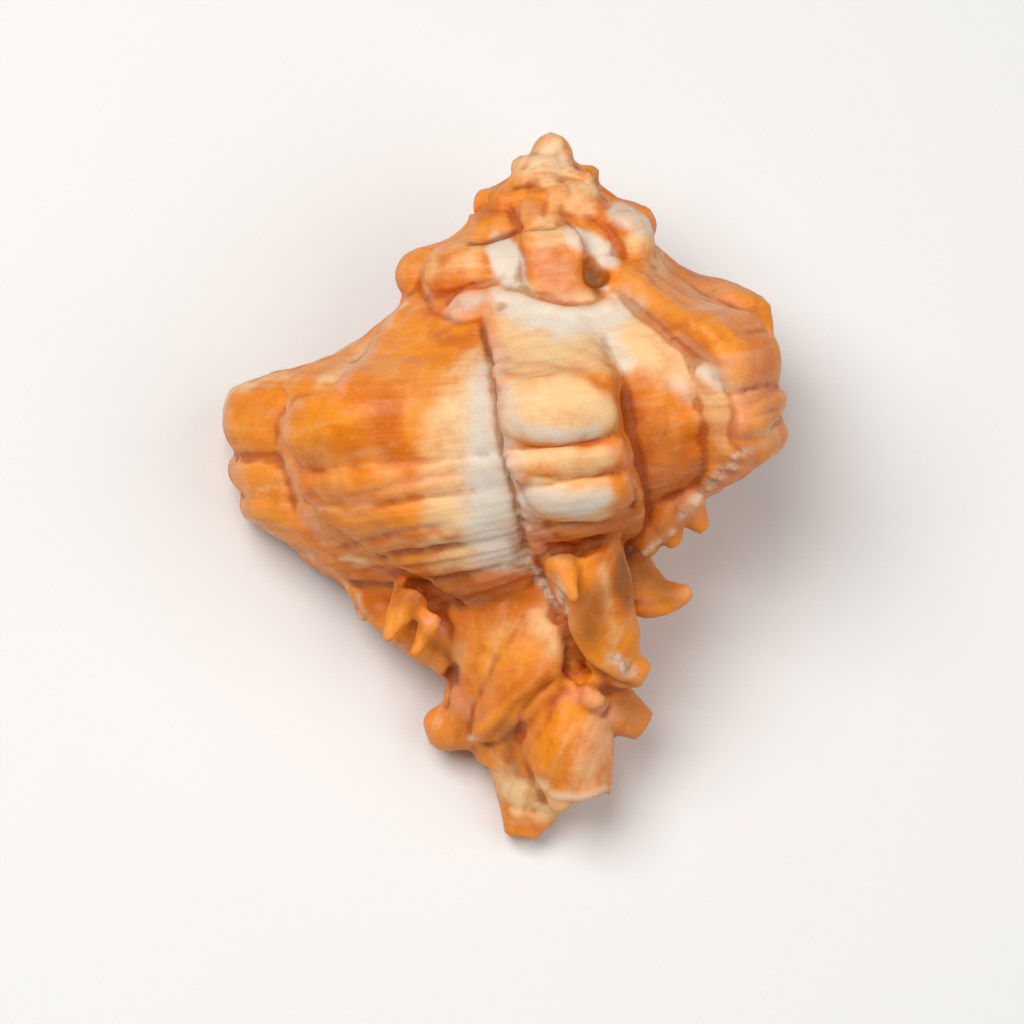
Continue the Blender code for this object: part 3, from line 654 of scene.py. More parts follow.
def crest_weight(share, pad, rise):
    """0 in the valley between two varices, 1 on the varix."""
    pad_start = 1 - pad
    up = smooth(share, pad_start - RISE_BEFORE * rise, pad_start + (1 - RISE_BEFORE) * rise)
    start = PANEL_START * (1 - smooth(share, 0.0, PANEL_END))
    return np.maximum(up, start)


def lobe_place(height):
    """Height of the lobe that a point is on, and its place across it from -1 to 1."""
    size = np.zeros_like(height)
    place = np.ones_like(height)
    for low, high in zip(LOBE_BOUNDS, LOBE_BOUNDS[1:]):
        across = 2 * (height - low) / (high - low) - 1
        inside = np.abs(across) < 1
        size[inside] = high - low
        place[inside] = across[inside]
    return size, place


def whorl(growth, count):
    """Points of the whorl's outer face in the shell frame, mm: one row for each growth line."""
    crest_r, crest_h, valley_r, valley_h, slant = through(OUTLINE, count).T
    share, pad, rise, soft = along_varix(growth)
    weight = crest_weight(share, pad, rise)[:, None]
    table = np.array(DIFFERENCES, float)[::-1]
    reach, middle, base, drop, lift, lower = (
        np.interp(growth, table[:, 0], table[:, column])[:, None] for column in range(1, 7)
    )
    out = 1 + (reach - 1) * smooth(crest_r, *REACH_RADII)
    out = out + middle * between(crest_h, MIDDLE_HEIGHTS) + base * between(crest_h, BASE_HEIGHTS)
    radius = valley_r + (crest_r * out - valley_r) * weight
    height = valley_h + (crest_h - lift * between(crest_h, RAMP_HEIGHTS) - valley_h) * weight
    size, place = lobe_place(height - lower)
    top = height - lower < LOBE_BOUNDS[1]
    place = np.where(top & (place < 0), place * TOP_LOBE_SQUEEZE, place)
    across = np.sqrt(1 - np.abs(place) ** LOBE_ROUNDNESS)
    turn = np.clip((share - 1 + pad / 2) / (pad / 2), -1, 1)
    turn = np.where(turn < 0, turn * (1 - soft), turn)[:, None]
    along = np.sqrt(1 - np.abs(turn) ** LOBE_END_ROUNDNESS)
    radius = radius - size * LOBE_DEPTH * weight * (1 - across * along) + size * RIB_DEPTH * (across - 1)
    height = height + drop * smooth(height, *DROP_HEIGHTS)
    angle = np.radians(growth[:, None] + slant)
    scale = shoulder_radius(growth)[:, None]
    down = height * scale
    lean = SPIRE_LEAN * np.exp(-(((down - SPIRE_LEAN_AT) / SPIRE_LEAN_REACH) ** 2))
    return np.stack([lean - radius * scale * np.sin(angle), -radius * scale * np.cos(angle), -down], 2)


def front_view():
    """From the shell frame to the front view: across, away from the eye, up."""
    return Matrix.Rotation(-FRONT_ROLL, 3, "Y") @ Matrix.Rotation(FRONT_TILT, 3, "X")


def seen_from_front(across, down, out):
    """A point of the front view in the shell frame."""
    return front_view().transposed() @ Vector((across, -out, -down))


def eye():
    """Where the eye of the front view is, in that view, mm."""
    middle = GRID_STEPS / 2
    return Vector(((middle - TIP_AT[0]) * GRID, -EYE_DISTANCE, -(middle - TIP_AT[1]) * GRID))


def tube_rings(path, deep=1.0):
    """Rings along a path of x, y, z and radius. The rings are stretched front to back by deep."""
    rows = through(path, KNOB_RINGS)
    rings = []
    for index, row in enumerate(rows):
        centre = Vector(row[:3])
        ahead = rows[min(index + 1, KNOB_RINGS - 1)]
        behind = rows[max(index - 1, 0)]
        along = Vector(ahead[:3] - behind[:3]).normalized()
        side = along.cross(Vector((0, -1, 0))).normalized()
        front = side.cross(along)
        turns = np.linspace(0, 2 * math.pi, KNOB_SIDES, endpoint=False)
        rings.append([centre + (side * math.cos(t) + front * deep * math.sin(t)) * row[3] for t in turns])
    return rings


def add_rings(shape, rings):
    """Joins closed rings of points into one capped solid."""
    loops = [[shape.verts.new(point) for point in ring] for ring in rings]
    sides = len(loops[0])
    for loop, following in zip(loops, loops[1:]):
        for index in range(sides):
            beside = (index + 1) % sides
            shape.faces.new((loop[index], loop[beside], following[beside], following[index]))
    shape.faces.new(loops[0][::-1])
    shape.faces.new(loops[-1])


def growth_lines():
    growth = np.arange(FIRST_GROWTH, LIP_GROWTH + GROWTH_STEP / 2, GROWTH_STEP)
    return np.append(growth[growth < LIP_GROWTH], LIP_GROWTH)


def add_whorls(shape):
    rings = []
    for line in whorl(growth_lines(), RING_POINTS):
        axis = [(0, 0, line[-1][2]), (0, 0, line[0][2])]
        rings.append([*line, *axis])
    add_rings(shape, rings)


def front_rings(path, deep=1.0):
    rows = [(*seen_from_front(across, down, out), radius) for across, down, out, radius in path]
    return tube_rings(rows, deep)


def knob_rings(name):
    return front_rings(KNOBS[name], FLATTER if name == "canal" else 1.0)


def add_knobs(shape):
    for name in KNOBS:
        add_rings(shape, knob_rings(name))
    tip = Matrix.Translation((TIP_ACROSS, 0, -TIP_RADIUS))
    bmesh.ops.create_icosphere(shape, subdivisions=4, radius=TIP_RADIUS, matrix=tip)


def mouth_rings():
    """The oval hollow, from a little outside the lip back into the whorl, where it closes."""
    outline = through(OUTLINE, RING_POINTS)
    turns = np.linspace(0, 2 * math.pi, MOUTH_SIDES, endpoint=False)
    rings = []
    for back in MOUTH_BACKS:
        narrow = max(MOUTH_END, math.sqrt(1 - (max(back, 0) / MOUTH_DEPTH) ** 2))
        flare = 1 + (MOUTH_FLARE - 1) * float(smooth(back, *MOUTH_FLARE_BACK))
        radius = MOUTH_CENTRE[0] + MOUTH_HALF[0] * narrow * flare * np.cos(turns)
        height = MOUTH_CENTRE[1] + MOUTH_HALF[1] * narrow * flare * np.sin(turns)
        slant = np.interp(height, outline[:, 1], outline[:, 4])
        angle = np.radians(LIP_GROWTH - back + slant)
        scale = shoulder_radius(LIP_GROWTH - back)
        rings.append(np.stack([-radius * np.sin(angle), -radius * np.cos(angle), -height], 1) * scale)
    return rings


def resting():
    """From the shell frame to the way the shell lies."""
    return Matrix.Rotation(REST_PITCH, 4, "X") @ Matrix.Rotation(REST_TURN, 4, "Z")


def new_object(name, add_shapes):
    """One mesh object in the shell frame, in mm, made by the given functions."""
    shape = bmesh.new()
    for add_shape in add_shapes:
        add_shape(shape)
    bmesh.ops.recalc_face_normals(shape, faces=shape.faces)
    mesh = bpy.data.meshes.new(name)
    shape.to_mesh(mesh)
    shape.free()
    return in_scene(name, mesh)


def add_skin(made, name, voxel):
    """One closed skin over all the shapes that the mesh holds."""
    skin = made.modifiers.new(name, "REMESH")
    skin.mode = "VOXEL"
    skin.voxel_size = voxel


def cut_away(made, cutter):
    cut = made.modifiers.new(cutter.name, "BOOLEAN")
    cut.operation = "DIFFERENCE"
    cut.object = cutter


def grown_mesh(voxel):
    """The whole shell as one closed mesh of small even faces, in the shell frame, mm."""
    made = new_object("grown", [add_whorls, add_knobs])
    add_skin(made, "grown together", voxel)
    cutters = [
        new_object("mouth", [lambda shape: add_rings(shape, mouth_rings())]),
        new_object("canal slit", [lambda shape: add_rings(shape, tube_rings(CANAL_SLIT, SLIT_DEPTH))]),
        new_object("spout hollow", [lambda shape: add_rings(shape, front_rings(SPOUT_HOLLOW))]),
    ]
    for cutter in cutters:
        cut_away(made, cutter)
    add_skin(made, "worn smooth", voxel)
    graph = bpy.context.evaluated_depsgraph_get()
    mesh = bpy.data.meshes.new_from_object(made.evaluated_get(graph))
    for old in (made, *cutters):
        bpy.data.objects.remove(old)
    return mesh


def points_of(mesh):
    points = np.empty(len(mesh.vertices) * 3, np.float32)
    mesh.vertices.foreach_get("co", points)
    return points.reshape(-1, 3).astype(float)


def normals_of(mesh):
    normals = np.empty(len(mesh.vertices) * 3, np.float32)
    mesh.vertex_normals.foreach_get("vector", normals)
    return normals.reshape(-1, 3).astype(float)


def set_points(mesh, points):
    mesh.vertices.foreach_set("co", points.astype(np.float32).ravel())
    mesh.update()


class Neighbours:
    """The edges of a mesh, for averages over each point's neighbours."""

    def __init__(self, mesh):
        ends = np.empty(len(mesh.edges) * 2, np.int32)
        mesh.edges.foreach_get("vertices", ends)
        self.first, self.second = ends.reshape(-1, 2).T
        self.count = len(mesh.vertices)
        self.number = np.maximum(self.total(np.ones(self.count)), 1)

    def total(self, values):
        there = np.bincount(self.first, values[self.second], self.count)
        return there + np.bincount(self.second, values[self.first], self.count)

    def mean(self, values):
        if values.ndim == 1:
            return self.total(values) / self.number
        return np.stack([self.mean(column) for column in values.T], 1)

    def smoothed(self, values, times, share=0.5):
        for _ in range(times):
            values = values + share * (self.mean(values) - values)
        return values


def grid_faces(rows, columns):
    """Quads of a grid of points, row by row."""
    corner = (np.arange(rows - 1)[:, None] * columns + np.arange(columns - 1)).ravel()
    return np.stack([corner, corner + 1, corner + columns + 1, corner + columns], 1)


def share_along(offset, side):
    return (offset * side).sum(1) / np.maximum((side**2).sum(1), 1e-12)


def nearest_on_grid(grid, points):
    """For each point: where it is nearest to a grid of points, the row and column there, and how far."""
    rows, columns = grid.shape[:2]
    flat = grid.reshape(-1, 3)
    faces = grid_faces(rows, columns)
    tree = BVHTree.FromPolygons(flat.tolist(), faces.tolist())
    found = [tree.find_nearest(point) for point in points.tolist()]
    place = np.array([hit[0][:] for hit in found])
    index = np.array([hit[2] for hit in found])
    distance = np.array([hit[3] for hit in found])
    corner = flat[faces[index]]
    offset = place - corner[:, 0]
    across = corner[:, 1] - corner[:, 0]
    ahead = corner[:, 3] - corner[:, 0]
    far_across = corner[:, 2] - corner[:, 3]
    far_ahead = corner[:, 2] - corner[:, 1]
    row = np.full(len(offset), 0.5)
    for _ in range(4):
        side = across + (far_across - across) * row[:, None]
        column = np.clip(share_along(offset - ahead * row[:, None], side), 0, 1)
        side = ahead + (far_ahead - ahead) * column[:, None]
        row = np.clip(share_along(offset - across * column[:, None], side), 0, 1)
    first = faces[index, 0]
    return place, first // columns + row, first % columns + column, distance


def in_front_view(points):
    """Where points of the shell frame are seen on the grid of the front view."""
    at = points @ np.array(front_view()).T - np.array(eye())
    nearer = EYE_DISTANCE / at[:, 1] / GRID
    middle = GRID_STEPS / 2
    return np.stack([middle + at[:, 0] * nearer, middle - at[:, 2] * nearer], 1)


def facing_front(points, normals):
    """1 where the surface faces the eye of the front view, 0 where it faces sideways or away."""
    at = np.array(front_view().transposed() @ eye()) - points
    at /= np.linalg.norm(at, axis=1)[:, None]
    return smooth((normals * at).sum(1), 0.02, 0.30)


def line_distance(places, line):
    """Distance of each place from a bent line, and how far along it the nearest point is, in its points."""
    best = np.full(len(places), FAR)
    along = np.zeros(len(places))
    for number, (start, end) in enumerate(zip(line, line[1:])):
        start = np.array(start, float)
        step = np.array(end, float) - start
        share = np.clip((places - start) @ step / max(step @ step, 1e-9), 0, 1)
        distance = np.linalg.norm(places - start - share[:, None] * step, axis=1)
        nearer = distance < best
        best[nearer] = distance[nearer]
        along[nearer] = (number + share)[nearer]
    return best, along


def front_relief(places):
    """Height of the marks and pads of the front view, mm."""
    height = np.zeros(len(places))
    for rise, half, line in MARKS:
        distance, along = line_distance(places, line)
        last = len(line) - 1.0
        ends = smooth(along, 0.0, MARK_ENDS) * (1 - smooth(along, last - MARK_ENDS, last))
        height += rise * np.exp(-((distance / half) ** 2)) * (MARK_ENDS + (1 - MARK_ENDS) * ends)
    for rise, centre, half, turn in PADS:
        angle = math.radians(turn)
        offset = places - np.array(centre)
        across = offset[:, 0] * math.cos(angle) + offset[:, 1] * math.sin(angle)
        down = offset[:, 1] * math.cos(angle) - offset[:, 0] * math.sin(angle)
        reach = np.abs(across / half[0]) ** PAD_ROUNDNESS + np.abs(down / half[1]) ** PAD_ROUNDNESS
        reach = reach ** (1 / PAD_ROUNDNESS)
        height += rise * np.sqrt(np.maximum(0, 1 - np.minimum(reach, 1) ** 2))
    return height


def front_tint(places, kind, sway):
    """Strength of one kind of colour in the front view, 0 to 1. The sway moves its edges."""
    places = places + sway * STRAYS[kind]
    left = np.ones(len(places))
    for strength, soft, line in TINTS[kind]:
        rows = np.array(line, float)
        distance, along = line_distance(places, rows[:, :2])
        half = np.interp(along, np.arange(len(rows)), rows[:, 2])
        left *= 1 - strength * (1 - smooth(distance, half - soft / 2, half + soft))
    return 1 - left


def noise_along(seed, spots, values):
    """A smooth random curve from -1 to 1 with the given number of spots, read at values from 0 to 1."""
    heights = np.random.default_rng(seed).uniform(-1, 1, spots + 3)
    place = np.clip(values, 0, 1) * spots
    first = np.clip(place.astype(int), 0, spots)
    part = place - first
    part = part * part * (3 - 2 * part)
    return heights[first] * (1 - part) + heights[first + 1] * part


def random_field(points, size, seed):
    """A smooth random value from -1 to 1 in space, with lumps of the given size in mm."""
    rng = np.random.default_rng(seed)
    value = np.zeros(len(points))
    for _ in range(6):
        direction = rng.normal(size=3)
        direction *= 2 * math.pi / size / np.linalg.norm(direction) * rng.uniform(0.7, 1.4)
        value += np.sin(points @ direction + rng.uniform(0, 2 * math.pi))
    return np.clip(value / 3, -1, 1)


def wandering(points, seed):
    """A random value in space from -1 to 1 with both broad and small lumps."""
    return 0.6 * random_field(points, 5.5, seed) + 0.4 * random_field(points, 2.2, seed + 1)


def set_attribute(mesh, name, values):
    attribute = mesh.attributes.new(name, "FLOAT", "POINT")
    attribute.data.foreach_set("value", values.astype(np.float32))


def closed(rings):
    """Rings as an array, with the first point of each again at its end."""
    rings = np.array([[point[:] for point in ring] for ring in rings])
    return np.concatenate([rings, rings[:, :1]], 1)


def nearest_on_whorls(points):
    """For each point: where it is nearest to the whorls, the growth angle and ring share there, how far."""
    growth = growth_lines()
    growth = growth[growth > LIP_GROWTH - TURNS_MATCHED * TURN]
    place, row, column, gap = nearest_on_grid(whorl(growth, RING_POINTS), points)
    return place, np.minimum(growth[0] + row * GROWTH_STEP, LIP_GROWTH), column / (RING_POINTS - 1), gap


def nearest_on_knobs(points):
    """For each point: where it is nearest to a knob, the share along it (0 on the canal), and how far."""
    on_knob = points.copy()
    knob_share = np.zeros(len(points))
    knob_gap = np.full(len(points), FAR)
    for name in KNOBS:
        rings = closed(knob_rings(name))
        low, high = rings.min((0, 1)) - KNOB_MARGIN, rings.max((0, 1)) + KNOB_MARGIN
        near = (points > low).all(1) & (points < high).all(1)
        place, ring, _, gap = nearest_on_grid(rings, points[near])
        share = np.zeros_like(gap) if name == "canal" else ring / (KNOB_RINGS - 1)
        spots = np.flatnonzero(near)
        nearer = gap < knob_gap[spots]
        knob_gap[spots[nearer]] = gap[nearer]
        knob_share[spots[nearer]] = share[nearer]
        on_knob[spots[nearer]] = place[nearer]
    return on_knob, knob_share, knob_gap


def one_whorl(around, at_growth, at_ring):
    """1 where the neighbours of a point are on the same whorl, 0 where two whorls meet."""
    growth_jump = np.abs(around.mean(at_growth) - at_growth) / GROWTH_JUMP
    ring_jump = np.abs(around.mean(at_ring) - at_ring) / RING_JUMP
    jump = np.maximum(growth_jump, ring_jump)
    return 1 - np.clip(3 * around.smoothed((jump > 0.5).astype(float), 3), 0, 1)


def whorl_relief(at_growth, at_ring, whorl_part, pattern):
    """Low spiral cords and growth folds, stronger on the base, mm."""
    turned = (at_growth - FOLDED[0]) / (FOLDED[1] - FOLDED[0])
    cords = np.sin(at_ring * 2 * math.pi * CORDS + 1.5 * noise_along(3, 40, turned))
    folds = noise_along(5, 420, turned) * smooth(at_ring, 0.05, 0.15)
    height = CORD_HEIGHT * cords * smooth(at_ring, 0.45, 0.75) * whorl_part * pattern
    height += FOLD_HEIGHT * folds * whorl_part * pattern
    return height


def teeth_relief(mouth_row, mouth_column):
    """Teeth inside the outer lip, mm."""
    deep = np.interp(mouth_row, np.arange(len(MOUTH_BACKS)), MOUTH_BACKS)
    side = mouth_column / MOUTH_SIDES * 2 * math.pi
    outer_side = smooth(np.cos(side), 0.0, 0.5)
    start, full, fade, end = TEETH_DEPTHS
    teeth = smooth(np.cos(np.sin(side) * TEETH_SPREAD), 0.1, 0.9) * smooth(deep, start, full)
    teeth *= 1 - smooth(deep, fade, end)
    return TEETH_HEIGHT * teeth * outer_side


# the material paints shade into the sunk places and paler wear onto the raised ones
def hollow_and_ridge(around, points, normals):
    """How sunk and how raised each point is against its near and its wider surroundings, 0 to 1."""
    near_mean = around.smoothed(points, 4, 0.6)
    wide_mean = around.smoothed(near_mean, 22, 0.6)
    small = ((near_mean - points) * normals).sum(1)
    wide = ((wide_mean - points) * normals).sum(1)
    hollow = smooth(small, 0.003, 0.06) * 0.6 + smooth(wide, 0.02, 0.34) * 0.65
    ridge = smooth(-small, 0.004, 0.06) * 0.6 + smooth(-wide, 0.03, 0.4) * 0.6
    return [np.clip(around.smoothed(value, 2), 0, 1) for value in (hollow, ridge)]


def fine_shell_mesh(sizes):
    """The shell's mesh in the shell frame, mm, with its relief and the attributes that its finish reads."""
    voxel = sizes.voxel / MM
    mesh = grown_mesh(voxel)
    around = Neighbours(mesh)
    points = points_of(mesh)

    on_whorl, at_growth, at_ring, whorl_gap = nearest_on_whorls(points)
    on_knob, knob_share, knob_gap = nearest_on_knobs(points)
    _, mouth_row, mouth_column, mouth_gap = nearest_on_grid(closed(mouth_rings()), points)
    slit_gap = nearest_on_grid(closed(tube_rings(CANAL_SLIT, SLIT_DEPTH)), points)[3]
    outer_gap = np.minimum(whorl_gap, knob_gap)
    in_mouth = (mouth_gap < CUT_REACH * voxel) & (mouth_gap < outer_gap)
    in_slit = (slit_gap < CUT_REACH * voxel) & (slit_gap < outer_gap)

    # pull the even skin back onto the shapes that it was grown over, where it's close to one
    target = np.where((whorl_gap < knob_gap)[:, None], on_whorl, on_knob)
    pull = smooth(outer_gap, PULL_REACH[0] * voxel, PULL_REACH[1] * voxel) * ~(in_mouth | in_slit)
    points = points + (target - points) * pull[:, None] * PULL
    points = around.smoothed(points, 2, 0.4)
    set_points(mesh, points)

    normals = normals_of(mesh)
    places = in_front_view(points)
    sway = np.stack([wandering(points, 41), wandering(points, 43)], 1)
    facing = facing_front(points, normals)
    front_tints = {kind: front_tint(places, kind, sway) for kind in STRAYS}
    pattern = one_whorl(around, at_growth, at_ring)
    open_air = 1 - around.smoothed((in_mouth | in_slit).astype(float), 2)
    whorl_part = (whorl_gap < knob_gap).astype(float) * open_air
    share, pad, rise, _ = along_varix(at_growth)
    crest = crest_weight(share, pad, rise)

    height = whorl_relief(at_growth, at_ring, whorl_part, pattern)
    # wrinkles of the canal, which run down and to the left
    right, down = (GRID * part for part in WRINKLE_ALONG)
    across_fold = places @ (right, down)
    along_fold = places @ (-down, right)
    waved = (across_fold + 0.4 * random_field(points, 5, 13)) / WRINKLE_SPAN
    height += WRINKLE_HEIGHT * (noise_along(7, 70, waved) * (1 - whorl_part)) * open_air
    height += sum(rise * random_field(points, lump, seed) for rise, lump, seed in DENTS)
    height += front_relief(places) * facing * sizes.relief * open_air
    height += teeth_relief(mouth_row, mouth_column) * in_mouth
    height = around.smoothed(height, 1)
    points = points + normals * height[:, None]
    # grit is rough
    grit = front_tints["grit"] * facing
    rough = random_field(points, GRIT_LUMP, 21) + np.random.default_rng(22).normal(0, 0.35, len(points))
    points = points + normals * (grit * (GRIT_HEIGHT * rough + GRIT_LIFT))[:, None]
    points = around.smoothed(points, 1, 0.25)
    set_points(mesh, points)

    # hollow feeds the painted shade of the hollows, ridge the paler worn edges
    hollow, ridge = hollow_and_ridge(around, points, normals_of(mesh))
    away = away_tints(at_growth, at_ring, share, crest, points)
    values = {
        "pattern": pattern * whorl_part,
        "growth": at_growth,
        "ring": at_ring,
        "size": shoulder_radius(at_growth) / SHOULDER_RADIUS,
        "across_fold": across_fold,
        "along_fold": along_fold,
        "knob": around.smoothed(knob_share * (knob_gap < whorl_gap), 3),
        "mouth": around.smoothed(in_mouth.astype(float), 3),
        "slit": around.smoothed(in_slit.astype(float), 3),
        "hollow": hollow,
        "ridge": ridge,
    }
    for kind, front in front_tints.items():
        tint = front * facing + away.get(kind, 0.0) * (1 - facing) * whorl_part
        values[kind] = np.clip(around.smoothed(tint, 1), 0, 1)
    for name, value in values.items():
        set_attribute(mesh, name, value)
    return mesh


def away_tints(growth, ring, share, crest, points):
    """Colours of the sides that the front view doesn't show: pale bands and pink edges at the varices."""
    wander = random_field(points, 14, 31)
    patch = random_field(points, 7, 32)
    band = 1 - smooth(share, 0.06, 0.22 + 0.1 * patch)
    band = band * smooth(ring, 0.30, 0.45) * smooth(wander, -0.4, 0.3)
    edge = smooth(share, 0.93, 0.99) * smooth(crest, 0.6, 0.9)
    return {
        "white": 0.9 * band,
        "cream": np.clip(0.7 * smooth(patch, 0.25, 0.8) + 0.5 * band, 0, 1),
        "amber": 0.8 * smooth(random_field(points, 9, 33), 0.1, 0.7),
        "rust": 0.8 * smooth(random_field(points, 8, 34), 0.25, 0.8) * smooth(ring, 0.35, 0.6),
        "pink": np.clip(0.9 * edge + 0.5 * smooth(random_field(points, 10, 35), 0.3, 0.9), 0, 1),
    }


# sockets of the mix node that belong to colours: the two inputs and the result
FIRST_COLOUR = 6
SECOND_COLOUR = 7
MIXED_COLOUR = 2


class NodeSheet:
    """Short ways to place and link the nodes of one tree."""

    def __init__(self, tree):
        self.tree = tree

    def node(self, kind, *links, **settings):
        made = self.tree.nodes.new(kind)
        for name, value in settings.items():
            setattr(made, name, value)
        for number, value in enumerate(links):
            self.feed(made.inputs[number], value)
        return made

    def feed(self, socket, value):
        if isinstance(value, bpy.types.NodeSocket):
            self.tree.links.new(value, socket)
        elif value is not None:
            socket.default_value = value

    def attribute(self, name):
        return self.node("ShaderNodeAttribute", attribute_name=name).outputs["Fac"]

    def math(self, operation, first, second=None, third=None, clamp=False):
        made = self.node("ShaderNodeMath", first, second, third, operation=operation, use_clamp=clamp)
        return made.outputs[0]

    def times(self, value, factor):
        return self.math("MULTIPLY", value, factor)

    def grade(self, value, low, high, start=0.0, end=1.0):
        """value from low to high becomes start to end, smoothly."""
        made = self.node("ShaderNodeMapRange", value, low, high, start, end, interpolation_type="SMOOTHSTEP")
        return made.outputs["Result"]

    def mix(self, share, first, second, blend="MIX"):
        made = self.node("ShaderNodeMix", data_type="RGBA", blend_type=blend)
        self.feed(made.inputs["Factor"], share)
        self.feed(made.inputs[FIRST_COLOUR], first)
        self.feed(made.inputs[SECOND_COLOUR], second)
        return made.outputs[MIXED_COLOUR]

    def noise(self, vector, scale, detail=3.0, rough=0.5):
        made = self.node("ShaderNodeTexNoise")
        given = {"Vector": vector, "Scale": scale, "Detail": detail, "Roughness": rough}
        for name, value in given.items():
            self.feed(made.inputs[name], value)
        return made.outputs["Fac"]

    def vector(self, x, y, z=0.0):
        return self.node("ShaderNodeCombineXYZ", x, y, z).outputs[0]


def colour(value):
    return (*value, 1.0)


# the colours of the marks in the order in which they lie over each other: how ragged their edges are, cover
MARK_COLOURS = (
    ("amber", 0.55, 0.9),
    ("cream", 0.6, 0.92),
    ("rust", 0.55, 0.85),
    ("pink", 0.4, 0.8),
    ("white", 0.45, 0.97),
)


def shell_material(colours):
    material = bpy.data.materials.new("murex shell")
    material.use_nodes = True
    tree = material.node_tree
    tree.nodes.clear()
    sheet = NodeSheet(tree)
    out = sheet.node("ShaderNodeOutputMaterial")
    shader = sheet.node("ShaderNodeBsdfPrincipled")
    tree.links.new(shader.outputs[0], out.inputs["Surface"])
    times = sheet.times
    grade = sheet.grade

    place = sheet.node("ShaderNodeTexCoord").outputs["Object"]
    growth = sheet.attribute("growth")
    ring = sheet.attribute("ring")
    pattern = sheet.attribute("pattern")
    mouth = sheet.math("MAXIMUM", sheet.attribute("mouth"), sheet.attribute("slit"))

    def along_whorl(across, down, detail):
        """A noise with across along the spiral and down down the growth line. It fades where whorls meet."""
        noise = sheet.noise(sheet.vector(times(growth, across), times(ring, down)), 1.0, detail)
        return sheet.math("MULTIPLY_ADD", sheet.math("SUBTRACT", noise, 0.5), pattern, 0.5)

    # long folds where there is no whorl, streaks along the spiral, and lumps of four sizes
    folds = sheet.vector(
        times(sheet.attribute("across_fold"), 0.9),
        times(sheet.attribute("along_fold"), 0.13),
    )
    folds = times(sheet.math("SUBTRACT", sheet.noise(folds, 1.0, 2.5), 0.5), 0.7)
    off_whorl = sheet.math("SUBTRACT", 1.0, pattern)
    streaks = sheet.math("MULTIPLY_ADD", folds, off_whorl, along_whorl(0.06, 30.0, 2.5))
    threads = along_whorl(0.06, 150.0, 1.0)
    lines = along_whorl(0.8, 6.0, 2.0)
    bands = along_whorl(0.11, 3.0, 3.0)
    broad = sheet.noise(place, 170.0, 4.0)
    blotch = sheet.noise(place, 480.0, 5.0, 0.6)
    grain = sheet.noise(place, 1100.0, 4.0, 0.65)
    fine = sheet.noise(place, 2600.0, 4.0, 0.6)
    uneven = sheet.math("ADD", times(streaks, 0.45), times(blotch, 0.55))
    mottled = sheet.math("ADD", times(folds, 1.4), blotch)

    def ragged(name, amount):
        """A mask with an edge broken up by the streaks and blotches."""
        shift = times(sheet.math("SUBTRACT", uneven, 0.5), amount * 2)
        mask = sheet.attribute(name)
        moved = sheet.math("ADD", mask, times(shift, grade(mask, 0.0, 0.3)))
        return grade(moved, 0.02, 0.98)

    def over(base, share, name, blend="MIX"):
        return sheet.mix(share, base, colour(getattr(colours, name)), blend)

    base = sheet.mix(grade(bands, 0.38, 0.62), colour(colours.orange), colour(colours.peach))
    base = over(base, grade(broad, 0.42, 0.66, 0.0, 0.7), "amber")
    for name, raggedness, cover in MARK_COLOURS:
        base = over(base, times(ragged(name, raggedness), cover), name)
    # pale places keep nearly free of the rust that comes next
    pale = sheet.math("MAXIMUM", sheet.attribute("white"), times(sheet.attribute("cream"), 0.6))
    not_pale = grade(pale, 0.1, 0.9, 1.0, 0.2)
    # uneven colour: the noise, where it begins and is full, the most it covers, where, and its colour
    for noise, low, high, most, where, name in (
        (streaks, 0.50, 0.28, 0.32, not_pale, "rust"),
        (blotch, 0.50, 0.30, 0.34, not_pale, "rust"),
        (grain, 0.50, 0.30, 0.20, not_pale, "rust"),
        (streaks, 0.54, 0.74, 0.20, None, "cream"),
        (mottled, 0.48, 0.20, 0.34, off_whorl, "rust"),
        (mottled, 0.54, 0.86, 0.28, off_whorl, "cream"),
        (grain, 0.54, 0.70, 0.12, None, "cream"),
    ):
        share = grade(noise, low, high, 0.0, most)
        base = over(base, share if where is None else times(share, where), name)
    # paler where it's worn, and painted shade darkens the hollows
    base = over(base, times(sheet.attribute("ridge"), 0.22), "peach")
    base = over(base, times(grade(sheet.attribute("hollow"), 0.1, 0.9), 0.8), "shade", "MULTIPLY")
    # the fine lines and dots, and the paler ends of the knobs
    base = over(base, times(grade(lines, 0.50, 0.30, 0.0, 0.06), not_pale), "rust")
    base = over(base, times(grade(threads, 0.50, 0.28, 0.0, 0.10), not_pale), "rust")
    base = over(base, grade(fine, 0.58, 0.75, 0.0, 0.10), "cream")
    base = over(base, grade(sheet.attribute("knob"), 0.5, 1.0, 0.0, 0.35), "peach")
    # painted shade in the cracks, pits and under the overhangs
    base = over(base, times(ragged("dirt", 0.3), 0.85), "dirt")
    grit = ragged("grit", 0.5)
    crust = sheet.mix(grade(grain, 0.42, 0.58), colour(colours.grit), colour(colours.pale_grit))
    base = sheet.mix(times(grit, 0.9), base, crust)
    inside = sheet.mix(grade(broad, 0.35, 0.65), colour(colours.enamel), colour(colours.enamel_pink))
    base = sheet.mix(mouth, base, inside)
    sheet.feed(shader.inputs["Base Color"], base)

    dull = grade(blotch, 0.3, 0.7, 0.38, 0.52)
    dull = sheet.math("ADD", dull, times(grit, 0.35))
    dull = sheet.math("MULTIPLY", dull, grade(mouth, 0.0, 1.0, 1.0, 0.5), clamp=True)
    sheet.feed(shader.inputs["Roughness"], dull)

